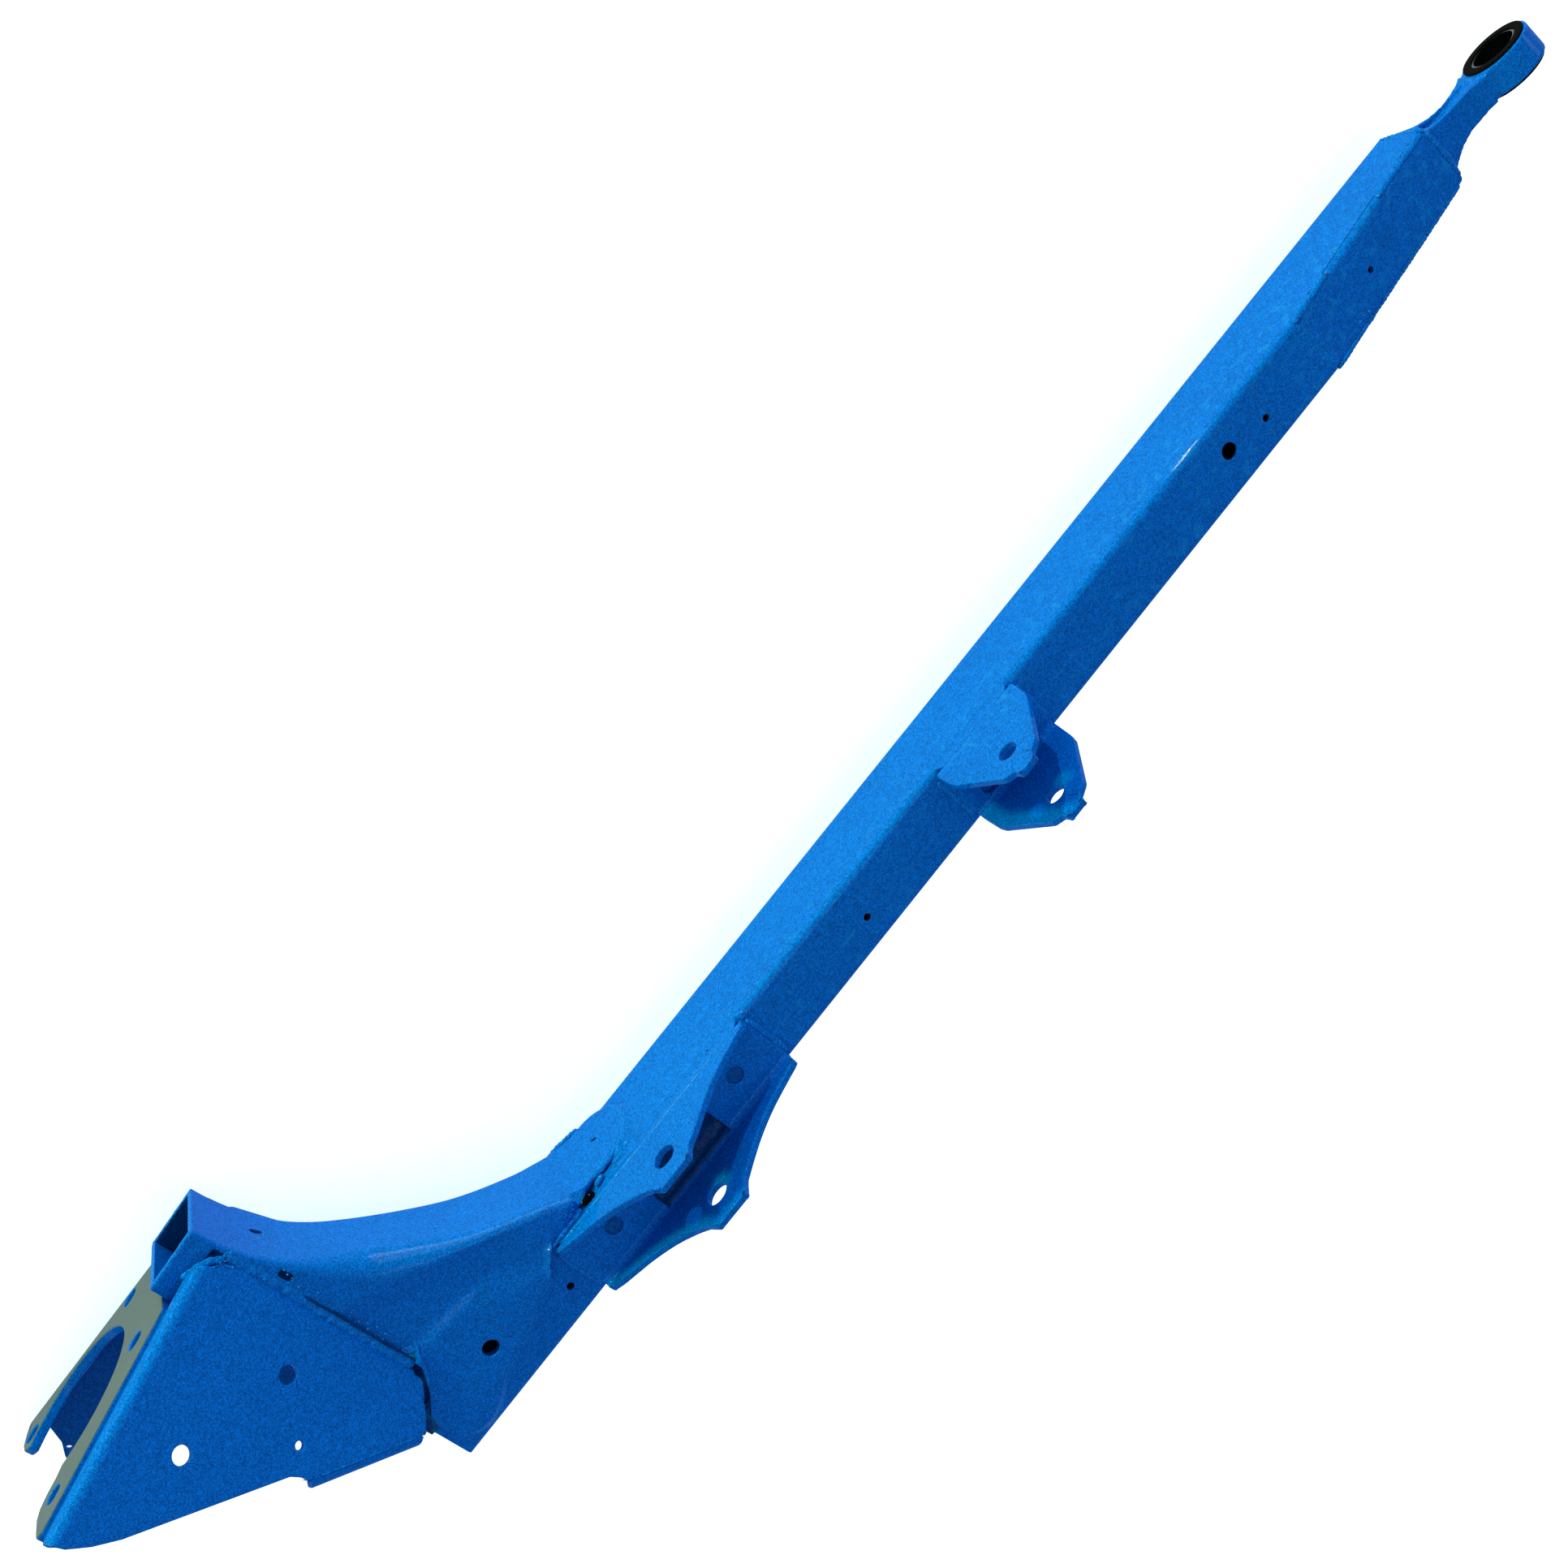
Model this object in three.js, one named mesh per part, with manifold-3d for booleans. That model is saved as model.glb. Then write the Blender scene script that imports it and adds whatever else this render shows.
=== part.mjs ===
// Left rear trailing arm of a side-by-side vehicle: a welded box-tube arm with a
// forged pivot end, two clevis brackets and a flared wheel carrier.
// Units mm. +X forward along the tube to the pivot, +Y outboard to the wheel,
// +Z up to the bracket side. Origin: centre of the pivot bore.
import * as THREE from 'three';
import { mergeVertices } from 'three/addons/utils/BufferGeometryUtils.js';
import Module from 'manifold-3d';
const wasm = await Module();
wasm.setup();

// ---------- driving dimensions (tube frame: tube axis at y = z = 0) ----------
const EYE = [451.3, 0, -7.6];        // pivot centre in the tube frame
const TUBE_W = 38.1, TUBE_H = 50.8;  // 1.5 x 2 in rectangular tube
const TUBE_T = 2.5, TUBE_R = 4;      // wall and outside corner radius
const TUBE_X0 = -405, TUBE_X1 = 388;
const GAP = 0.3;                     // fit-up gap left between separate pieces
const NOSE_X0 = 268, NOSE_TAN = 0.163, NOSE_T = 3;
const BR_T = 3.8;                    // clevis bracket sheet
const LINK_HOLE_R = 5.1, LINK_HOLE = [12.0, 68.6];
const SHOCK_HOLE_R = 6.1, SHOCK_HOLE = [-233.0, 55.1];
const SH_T = 2.8, SH_Z = TUBE_H / 2 + GAP + SH_T; // stamped shell, half height
const CAMBER = THREE.MathUtils.degToRad(9.3);     // lean of the hub face
const RAKE = THREE.MathUtils.degToRad(30);        // rise of the carrier plate
const PL_T = 3;                      // carrier plate
const FL_T = 5;                      // hub flange plate
const HUB_R = 43.5, HUB_BOLT_R = 4.6;
const RING_R = 19.5, RING_W = 16, BUSH_BORE = 15;
const BUSH_FL_R = 18, BUSH_FL_T = 0.9, BUSH_L = 7.8;
const SLEEVE_R = 13.2, SLEEVE_IN = 11.9, RUN = 0.07;

// ---------- helpers ----------
const v3 = (a) => new THREE.Vector3(a[0], a[1], a[2]);
const dead = [];
function toMan(geo) {
  let g = geo.index ? geo.toNonIndexed() : geo.clone();
  for (const k of Object.keys(g.attributes)) if (k !== 'position') g.deleteAttribute(k);
  g = mergeVertices(g, 1e-4);
  const m = new wasm.Manifold(new wasm.Mesh({
    numProp: 3, vertProperties: new Float32Array(g.attributes.position.array),
    triVerts: new Uint32Array(g.index.array) }));
  dead.push(m);
  return m;
}
function fromMan(m) {
  const me = m.getMesh(), np = me.numProp;
  const pos = new Float32Array(me.numVert * 3);
  for (let i = 0; i < me.numVert; i++) for (let k = 0; k < 3; k++) pos[3 * i + k] = me.vertProperties[np * i + k];
  let g = new THREE.BufferGeometry();
  g.setAttribute('position', new THREE.BufferAttribute(pos, 3));
  g.setIndex(new THREE.BufferAttribute(new Uint32Array(me.triVerts), 1));
  return g;
}
const U = (a, ...b) => b.reduce((x, y) => { const r = x.add(y); dead.push(r); return r; }, a);
const S = (a, ...b) => b.reduce((x, y) => { const r = x.subtract(y); dead.push(r); return r; }, a);
const I = (a, b) => { const r = a.intersect(b); dead.push(r); return r; };

function circle(cx, cy, r, n = 28, a0 = 0) {
  const p = [];
  for (let i = 0; i < n; i++) { const t = a0 + 2 * Math.PI * i / n; p.push([cx + r * Math.cos(t), cy + r * Math.sin(t)]); }
  return p;
}
function slot(cx, cy, len, wid, ang = 0, n = 6) {
  const r = wid / 2, h = len / 2 - r, p = [], c = Math.cos(ang), s = Math.sin(ang);
  for (const sg of [1, -1]) for (let i = 0; i <= n; i++) {
    const t = -Math.PI / 2 + Math.PI * i / n + (sg < 0 ? Math.PI : 0);
    const x = sg * h + r * Math.cos(t), y = r * Math.sin(t);
    p.push([cx + c * x - s * y, cy + s * x + c * y]);
  }
  return p;
}
// polygon with each corner rounded; entries [x, y, r?]
function rpoly(pts, dr = 0, seg = 4) {
  const out = [], n = pts.length;
  for (let i = 0; i < n; i++) {
    const P = pts[i], A = pts[(i + n - 1) % n], B = pts[(i + 1) % n], r0 = P[2] ?? dr;
    if (!r0) { out.push([P[0], P[1]]); continue; }
    const a = new THREE.Vector2(A[0] - P[0], A[1] - P[1]), b = new THREE.Vector2(B[0] - P[0], B[1] - P[1]);
    const la = a.length(), lb = b.length(); a.divideScalar(la); b.divideScalar(lb);
    const th = Math.acos(Math.min(1, Math.max(-1, a.dot(b))));
    let d = r0 / Math.tan(th / 2); d = Math.min(d, 0.45 * la, 0.45 * lb);
    const r = d * Math.tan(th / 2);
    const bis = a.clone().add(b).normalize(), cc = new THREE.Vector2(P[0], P[1]).addScaledVector(bis, r / Math.sin(th / 2));
    const s = new THREE.Vector2(P[0], P[1]).addScaledVector(a, d), e = new THREE.Vector2(P[0], P[1]).addScaledVector(b, d);
    let t0 = Math.atan2(s.y - cc.y, s.x - cc.x), t1 = Math.atan2(e.y - cc.y, e.x - cc.x);
    let dt = t1 - t0; while (dt > Math.PI) dt -= 2 * Math.PI; while (dt < -Math.PI) dt += 2 * Math.PI;
    for (let k = 0; k <= seg; k++) out.push([cc.x + r * Math.cos(t0 + dt * k / seg), cc.y + r * Math.sin(t0 + dt * k / seg)]);
  }
  return out;
}
// extruded plate: outline in the (A, B) plane at origin o, from n0 to n1 along A x B
function prism(pts, o, A, B, n0, n1, holes = []) {
  const s = new THREE.Shape(pts.map((p) => new THREE.Vector2(p[0], p[1])));
  for (const h of holes) s.holes.push(new THREE.Path(h.map((p) => new THREE.Vector2(p[0], p[1]))));
  const g = new THREE.ExtrudeGeometry(s, { depth: n1 - n0, bevelEnabled: false, steps: 1 });
  const a = v3(A), b = v3(B), n = a.clone().cross(b);
  const m = new THREE.Matrix4().makeBasis(a, b, n);
  m.setPosition(v3(o).addScaledVector(n, n0));
  g.applyMatrix4(m);
  return toMan(g);
}
const O0 = [0, 0, 0], X = [1, 0, 0], Y = [0, 1, 0], Z = [0, 0, 1], NY = [0, -1, 0];
const xy = (pts, z0, z1, holes) => prism(pts, O0, X, Y, z0, z1, holes);              // extrude along +Z
const xz = (pts, y0, y1, holes) => prism(pts, O0, X, Z, -y1, -y0, holes);            // X x Z = -Y
const yz = (pts, x0, x1, holes) => prism(pts, O0, Y, Z, x0, x1, holes);              // extrude along +X
const box = (x0, x1, y0, y1, z0, z1) => xy([[x0, y0], [x1, y0], [x1, y1], [x0, y1]], z0, z1);

const group = new THREE.Group();
group.name = 'trailing_arm';
const PAINT = { c: [0.02, 0.33, 0.72], r: 0.32, m: 0.35 };
const WELD = { c: [0.02, 0.36, 0.76], r: 0.4, m: 0.35 };
const BLACK = { c: [0.035, 0.035, 0.035], r: 0.75, m: 0.0 };
const SLEEVE = { c: [0.02, 0.02, 0.022], r: 0.25, m: 0.6 };
function add(name, man, mat = PAINT, warp = null) {
  const g = fromMan(man), p = g.attributes.position;
  for (let i = 0; i < p.count; i++) {
    let q = [p.getX(i), p.getY(i), p.getZ(i)];
    if (warp) q = warp(q);
    p.setXYZ(i, q[0] - EYE[0], q[1] - EYE[1], q[2] - EYE[2]);
  }
  const n = g.toNonIndexed(); n.computeVertexNormals();
  const mesh = new THREE.Mesh(n, new THREE.MeshStandardMaterial({
    color: new THREE.Color(...mat.c), roughness: mat.r, metalness: mat.m }));
  mesh.name = name;
  group.add(mesh);
}

// ---------- main tube ----------
const hw = TUBE_W / 2, hh = TUBE_H / 2;
const rect = (a, b, r) => rpoly([[-a, -b, r], [a, -b, r], [a, b, r], [-a, b, r]], r, 4);
const noseZ = (x) => hh - NOSE_TAN * (x - NOSE_X0);
{
  let t = yz(rect(hw, hh, TUBE_R), TUBE_X0, TUBE_X1, [rect(hw - TUBE_T, hh - TUBE_T, TUBE_R - TUBE_T)]);
  const off = NOSE_T * 1.013 + GAP;
  t = S(t, xz([[NOSE_X0 - 0.2, noseZ(NOSE_X0) - off], [TUBE_X1 + 5, noseZ(TUBE_X1 + 5) - off], [TUBE_X1 + 5, hh + 5], [NOSE_X0 - 0.2, hh + 5]], -hw - 1, hw + 1));
  for (const [x, y, r] of [[199.3, 1.6, 4.4], [224, -2.9, 2], [-87.8, -3.3, 2], [-312.9, -2.7, 2], [-356.7, 11.9, 4.6]])
    t = S(t, xy(circle(x, y, r, 20), hh - 4, hh + 1));
  t = S(t, xz([[381, -hh - 1], [388.2, 4], [400, 4], [400, -hh - 1]], -hw - 1, hw + 1));   // front end cut on a slant
  add('main_tube', t);
}
// ---------- tapered closing plate at the front ----------
{
  const x0 = NOSE_X0 + GAP, x1 = TUBE_X1;
  let p = I(yz(rect(hw, hh, TUBE_R), x0, x1), box(x0 - 1, x1 + 1, -hw - 1, hw + 1, hh - NOSE_T * 1.013, hh + 1));
  p = I(p, xy(rpoly([[x0, -hw - 1, 0], [x1, -hw, 4], [x1, hw, 4], [x0, hw + 1, 0]], 0, 4), -40, 60));
  p = S(p, xy(circle(316.4, -1.4, 1.85, 16), -40, 60));
  add('nose_plate', p, PAINT, (q) => [q[0], q[1], q[2] - NOSE_TAN * (q[0] - NOSE_X0)]);
}
// ---------- forged pivot end ----------
const eyeN = new THREE.Vector3(0.008, 1, -0.144).normalize();
const eyeA = new THREE.Vector3(1, 0, 0).addScaledVector(eyeN, -eyeN.x).normalize();
const eyeB = eyeN.clone().cross(eyeA);
const eA = eyeA.toArray(), eB = eyeB.toArray();       // eA x eB = eyeN
const eyeDisc = (r, n0, n1, holes = [], n = 64) => prism(circle(0, 0, r, n), EYE, eA, eB, n0, n1, holes);
{
  const zt = (x) => noseZ(x) - NOSE_T * 1.013 - 0.6;
  const side = [[364, -21.8], [388.4, -21.8], [391, -18.6], [397, -15.6], [405, -13.7], [413, -13.2], [421, -13.9], [428, -16.4], [436, -21.4],
    [451.3, -24], [451.3, 8], [440, 5.2], [432, 1.2], [425, -1.4], [413, -2.6], [405, -1.9], [397, -0.2], [390, 1.6], [386, zt(386)], [364, zt(364)]];
  const plan = [[364, -15.6], [386, -15.6], [390, -15.0], [396, -12.4], [404, -10], [413, -8.8], [428, -8.3], [451.3, -8.3],
    [451.3, 8.3], [428, 8.3], [413, 8.8], [404, 10], [396, 12.4], [390, 15.0], [386, 15.6], [364, 15.6]];
  let n = I(xz(side, -20, 20), xy(plan, -60, 60));
  // shallow forged pocket on each flank of the neck
  const pocket = rpoly([[394.5, -12.2], [429, -11.4], [429, -5.6], [394.5, -3.2]], 2, 3);
  n = S(n, xz(pocket, 6.9, 16), xz(pocket, -16, -6.9));
  n = U(n, eyeDisc(RING_R, -RING_W / 2, RING_W / 2));
  n = S(n, eyeDisc(RING_R + 1.5, RING_W / 2, 16), eyeDisc(RING_R + 1.5, -16, -RING_W / 2));   // faced flat around the eye
  n = S(n, eyeDisc(BUSH_BORE + 0.3, -15, 15));
  add('pivot_forging', n);
}
for (const [name, s] of [['bush_outboard', 1], ['bush_inboard', -1]]) {
  const f0 = RING_W / 2 + GAP, hole = circle(0, 0, SLEEVE_R + RUN, 64);
  const lo = (a, b) => (s > 0 ? [a, b] : [-b, -a]);
  let b = eyeDisc(BUSH_FL_R, ...lo(f0, f0 + BUSH_FL_T), [], 64);
  b = U(b, eyeDisc(BUSH_BORE, ...lo(f0 - BUSH_L, f0 + 0.5), [], 64));
  b = S(b, prism(hole, EYE, eA, eB, -20, 20));
  add(name, b, BLACK);
}
{
  const l = RING_W / 2 + GAP + BUSH_FL_T - 0.6;
  add('pivot_sleeve', prism(circle(0, 0, SLEEVE_R, 64), EYE, eA, eB, -l, l, [circle(0, 0, SLEEVE_IN, 64)]), SLEEVE);
}
// ---------- U brackets ----------
function uBracket(outline, holeAt, holeR, webCuts) {
  const zb = hh + GAP, o = TUBE_W / 2 + 0.25, t = BR_T, top = 110;
  const prof = [...rpoly([[-o, zb, 5], [o, zb, 5], [o, top, 0], [o - t, top, 0], [o - t, zb + t, 2], [-o + t, zb + t, 2], [-o + t, top, 0], [-o, top, 0]], 0, 4)];
  let m = I(yz(prof, -320, 60), xz(outline, -30, 30));
  m = S(m, xz(circle(holeAt[0], holeAt[1], holeR, 28), -30, 30));
  for (const c of webCuts) m = S(m, xy(c, zb - 1, zb + t + 1));
  return m;
}
add('link_bracket', uBracket(rpoly([[-14, 20, 0], [-15.1, 46, 4], [-14.3, 51, 3], [-0.4, 81.6, 4], [4.6, 84.6, 1.5], [5.8, 90, 1.5], [16.4, 90, 1.5], [17.6, 84.6, 1.5], [24, 80.3, 5], [40, 50.3, 3], [41, 46, 4], [42.3, 20, 0]], 0, 3),
  LINK_HOLE, LINK_HOLE_R, [circle(-1.2, -8, 4.2, 20)]));
add('shock_bracket', uBracket(rpoly([[-302, 20, 0], [-301.8, 33.5, 2], [-290, 38.2, 8], [-277, 43.4, 10], [-264, 50.6, 10], [-252, 60.2, 8], [-245.4, 67.6, 2.5], [-242.6, 73.4, 2], [-222.6, 73.8, 2], [-219.6, 66, 2.5], [-207.5, 55.8, 8], [-198, 48.2, 10], [-186, 42, 10], [-163.4, 34.6, 2], [-163, 20, 0]], 0, 3),
  SHOCK_HOLE, SHOCK_HOLE_R, [rpoly([[-255, -13.4], [-208, -13.4], [-208, 13.4], [-255, 13.4]], 1.5, 3), circle(-277, 1.6, 4.5, 24), circle(-186, 1.6, 4.5, 24)]));
add('plug_weld_rear', xy(circle(-277, 1.6, 4.5 - 0.35, 24), hh + GAP, hh + GAP + 2.6), WELD);
add('plug_weld_front', xy(circle(-186, 1.6, 4.5 - 0.35, 24), hh + GAP, hh + GAP + 2.6), WELD);

// ---------- stamped outer shell ----------
const smooth = (t) => { t = Math.min(1, Math.max(0, t)); return t * t * (3 - 2 * t); };
const lean = (q) => [q[0], q[1] + Math.tan(CAMBER) * smooth((-248 - q[0]) / 52) * smooth((q[1] - 19.6) / 9) * (q[2] + SH_Z), q[2]];
const FRONT = [[-258, 22.3], [-266, 22.7], [-275, 24.2], [-285, 27.4], [-294, 31.8], [-308, 41], [-323, 52.8], [-340, 70], [-355, 87.2], [-366, 102], [-374, 117.5], [-379, 134], [-381, 148], [-381.5, 158]];
const inner = FRONT.map((p, i) => {
  const a = FRONT[Math.max(0, i - 1)], b = FRONT[Math.min(FRONT.length - 1, i + 1)];
  const d = new THREE.Vector2(b[0] - a[0], b[1] - a[1]).normalize();
  return [p[0] + d.y * -SH_T, p[1] + d.x * SH_T];
});
{
  const lobe = [[-383.3, 144], [-383.3, 36.5], [-378, 34.2], [-375.6, 31.5], [-376.6, 28], [-381.5, 24.2], [-391, 20.5], [-398.6, 13.4], [-401, 7], [-400, -3.2], [-395.5, -9.6], [-387.5, -13], [-377.5, -10.8], [-366, -4.6], [-358, -2.5], [-341, 1.3], [-328, 6.8], [-314.2, 9.4], [-313, 13], [-308.7, 18.2], [-303.5, 21], [-285, 20.6], [-268, 20.4]];
  const P = [...FRONT, [-413, 155.4], [-413, 144], ...lobe];
  let s = xy(P, -SH_Z, SH_Z);
  const cav = [[-250, 19.35], [-258, 19.4], ...inner.slice(1), [-381.2, 190], [-430, 190], [-430, -40], [-250, -40]];
  s = S(s, xy(cav, -SH_Z + SH_T, SH_Z - SH_T));
  // front corners drawn back to the rounded tongue on the tube's side face
  s = S(s, xz([[-250, 19], [-262, 21], [-284, 26.5], [-290, 40], [-250, 40]], -60, 60), xz([[-250, -23], [-262, -24], [-284, -27.5], [-290, -40], [-250, -40]], -60, 60));
  const tip = []; for (let i = 0; i <= 14; i++) { const t = -Math.PI / 2 + Math.PI * i / 14; tip.push([-257 + 22 * Math.cos(t), -1.2 + 22 * Math.sin(t)]); }
  s = U(s, xz([[-275, -25], ...tip, [-275, 23]], 19.35, 22.3));
  s = S(s, xy(circle(-356.7, 11.9, 4.4, 24), SH_Z - SH_T - 1, SH_Z + 1));
  s = S(s, xy(slot(-377.1, 108.7, 8, 4, Math.PI / 2), SH_Z - SH_T - 1, SH_Z + 1));
  s = S(s, xz(slot(-274, 25.2, 9, 5), 21.5, 28.5));
  s = S(s, xz(slot(-254.2, -2.5, 3.4, 1.6, 0.5, 4), 15, 60));
  s = S(s, yz(slot(124.5, -4.2, 5.4, 2.4, 0.2, 4), -400, -366));
  add('outer_shell', s, PAINT, lean);
}
add('shell_rear_web', xy([[-413, 24], [-410.4, 24], [-410.4, 155.6], [-413, 155.4]], -hh + 0, hh - 0), PAINT, lean);

// ---------- carrier plates ----------
const cR = Math.cos(RAKE), sR = Math.sin(RAKE), cC = Math.cos(CAMBER), sC = Math.sin(CAMBER);
const PO = [-380.5, 0, 28.4];                 // fold line of the raked plate
const uD = [-cR, 0, sR], vD = [sR, 0, cR];    // up the rake, and its normal; Y x u = ?
{
  // outline in (u, y); prism axes (y, u): Y x u = (sR, 0, cR) = v
  const plate = rpoly([[3, 37], [3, 141], [8.4, 141.2, 0], [9.5, 153.6, 9], [20, 156.8, 8], [139.2, 156.8, 5], [137.5, 149, 4], [132, 139, 4], [124.2, 128.4, 3], [70.4, 70.6, 4], [68.2, 65, 3], [68.4, 60.8, 3], [71, 58.2, 1.5], [28.6, 14.2, 2], [22.4, 18.8, 4], [14, 24.2, 4], [6.4, 28.4, 3]], 0, 3).map(([u, y]) => [y, u]);
  const hs = [circle(94, 33.2, 4.45, 24), circle(122, 84, 4.45, 24), circle(73.4, 57, 2.1, 16)];
  let p = prism(plate, PO, Y, uD, -PL_T, 0, hs);
  // hub-side lip, bent down and leaning with the hub face
  const lipTop = [PO[0], 153.9, PO[2]];
  const dn = [-(vD[0] * cC), -sC, -(vD[2] * cC)];
  const outN = [-(vD[0] * sC), cC, -(vD[2] * sC)];
  // (u, down): u x dn = ?  use matrix basis (dn, u): dn x u = outN
  let lip = prism([[0.4, 13.6], [6, 14.6], [9.5, 20], [9.5, 138.2], [6, 139], [0.4, 139.2]], [PO[0], 156.9, PO[2]], dn, uD, -PL_T, 0);
  p = U(p, lip);
  // diagonal edge lip
  const e0 = [28.6, 14.2], e1 = [71, 58.2], L = Math.hypot(e1[0] - e0[0], e1[1] - e0[1]);
  const ed = [(e1[0] - e0[0]) / L, (e1[1] - e0[1]) / L];
  const E = [uD[0] * ed[0], ed[1], uD[2] * ed[0]];
  const vN = [-vD[0], -vD[1], -vD[2]];
  const eo = [PO[0] + uD[0] * e0[0], e0[1], PO[2] + uD[2] * e0[0]];
  // E x (-v) points away from or into the plate; keep the lip inside the edge
  const nE = v3(E).cross(v3(vN));
  const inw = v3([uD[0] * -ed[1], ed[0], uD[2] * -ed[1]]);
  const sgn = nE.dot(inw) > 0 ? 1 : -1;
  p = U(p, prism([[2, 0.5], [L - 1, 0.5], [L - 2, 8], [5, 8]], eo, E, vN, sgn > 0 ? 0 : -PL_T, sgn > 0 ? PL_T : 0));
  // front edge trimmed square where it meets the shell skin
  p = S(p, box(-383.8, -360, 0, 200, 0, 60));
  add('carrier_top_plate', p);
}
{
  const a = THREE.MathUtils.degToRad(9.8), c = Math.cos(a), s = Math.sin(a);
  const bu = [-c, 0, -s];                      // rearward and down; Y x bu = ?
  const out = rpoly([[0, 12, 2], [0, 140.5, 2], [10, 142.4, 0], [116, 130.9, 5], [121, 118.5, 3], [129, 109.5, 4], [93, 73, 0], [27, 8, 4]], 0, 3);
  // Y x bu = (-s*1 - 0, 0, c)
  let m = prism(out.map(([u, y]) => [y, u]), [-403, 0, -SH_Z - GAP], Y, bu, -PL_T, 0, [circle(113.5, 122, 1.8, 14)]);
  // flat front margin, lapped under the lower skin of the shell
  m = U(m, xy(rpoly([[-404.5, 14, 0], [-392, 20, 4], [-380, 36, 8], [-371, 58, 8], [-374.6, 112, 6], [-380, 134, 4], [-384.5, 140.4, 3], [-404.5, 140.3, 0]], 0, 4), -SH_Z - GAP - PL_T, -SH_Z - GAP));
  add('carrier_bottom_plate', m);
}
// ---------- hub flange ----------
{
  const FO = [PO[0] - 10 * vD[0], 158, PO[2] - 10 * vD[2]];
  const w = [vD[0] * cC, sC, vD[2] * cC];      // up within the hub face
  // (w, u): w x u points inboard, so the plate grows inboard from its outer face
  const pts = [[33.4, 0], [135, -0.4], [138, -4], [135.6, -9.2], [130, -19.6], [125, -24.4], [118.5, -26.2], [111, -26.2]];
  const a0 = THREE.MathUtils.degToRad(57), a1 = THREE.MathUtils.degToRad(289), N = 40;
  for (let i = 0; i <= N; i++) { const t = a0 + (a1 - a0) * i / N; pts.push([81 + HUB_R * Math.cos(t), -64.5 + HUB_R * Math.sin(t)]); }
  pts.push([96.6, -108.9], [97.2, -112], [94.8, -118.4], [89, -125], [84.4, -129.2], [81, -128.6], [0.4, -59.4]);
  const m = prism(pts.map(([u, q]) => [q, u]), FO, w, uD, 0, FL_T,
    [[47.5, -18], [22.8, -70], [88.6, -114], [118.2, -15]].map(([u, q]) => circle(q, u, HUB_BOLT_R, 24)));
  add('hub_flange', m);
}
// ---------- weld beads ----------
{
  const arc = (r, a, b, n) => { const o = []; for (let i = 0; i <= n; i++) { const t = THREE.MathUtils.degToRad(a + (b - a) * i / n); o.push([-257 + r * Math.cos(t), -1.2 + r * Math.sin(t)]); } return o; };
  let t = xz([...arc(22.3, -82, 78, 16), ...arc(25, 76, -80, 16)], hw + GAP, hw + 1.6);
  t = U(t, xz([...arc(22.3, -82, 78, 16), ...arc(23.6, 76, -80, 16)], hw + 1.5, hw + 2.6));
  add('weld_tongue', t, WELD);
  const seam = [[-383.5, 28.85], [-379.6, 28.85], [-380.4, 29.7], [-381.8, 30.3], [-383.5, 30.5]];
  add('weld_seam_inner', xz(seam, 35, 110), WELD);
  add('weld_seam_outer', xz(seam, 123, 139.5), WELD);
  const lb = [[-329, 3.4], [-341.8, -2], [-358.6, -5.8], [-366.8, -7.8], [-378, -14.2], [-387.5, -16.2]];
  const li = [[-387.5, -13.4], [-377.4, -11.2], [-365.8, -5], [-357.8, -2.9], [-340.8, 0.9], [-328, 6.3]];
  add('weld_lobe', xy([...li, ...lb], hh + GAP, hh + 2), WELD);
  const nz = (x) => noseZ(x);
  add('weld_nose_rear', xz([[NOSE_X0 - 4, hh + GAP], [NOSE_X0 - 0.1, hh + GAP], [NOSE_X0 + 3.4, nz(NOSE_X0 + 3.4) + GAP], [NOSE_X0 + 2.6, hh + 1.2], [NOSE_X0 - 0.4, hh + 1.9], [NOSE_X0 - 3, hh + 1.2]], -13, 13), WELD);
  const z0 = hh + GAP;
  for (const [n, x, d] of [['weld_shock_rear', -302, -1], ['weld_shock_front', -163, 1]]) {
    const a = x + d * GAP, p = [[a, z0], [a + d * 3.6, z0], [a + d * 2.6, z0 + 1.6], [a + d * 1.2, z0 + 2.6], [a, z0 + 3]];
    add(n, xz(d > 0 ? p : p.slice().reverse(), -13, 13), WELD);
  }
  for (const [n, x, d] of [['weld_link_rear', -14.2, -1], ['weld_link_front', 42.2, 1]]) {
    const a = x + d * GAP, p = [[a, z0], [a + d * 3, z0], [a + d * 2.2, z0 + 1.4], [a + d, z0 + 2.2], [a, z0 + 2.6]];
    add(n, xz(d > 0 ? p : p.slice().reverse(), -12, 12), WELD);
  }
  // bead where the forging leaves the tube, one each side
  add('weld_neck_outboard', xy([[388.35, 15.9], [391.2, 15.6], [390.6, 17.4], [388.35, 18.6]], -20, 0), WELD);
  add('weld_neck_inboard', xy([[388.35, -18.6], [390.6, -17.4], [391.2, -15.6], [388.35, -15.9]], -20, 0), WELD);
}
for (const m of dead) m.delete?.();
export default group;
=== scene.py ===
import bpy, bmesh, math, random
from mathutils import Vector, Matrix, noise


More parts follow.
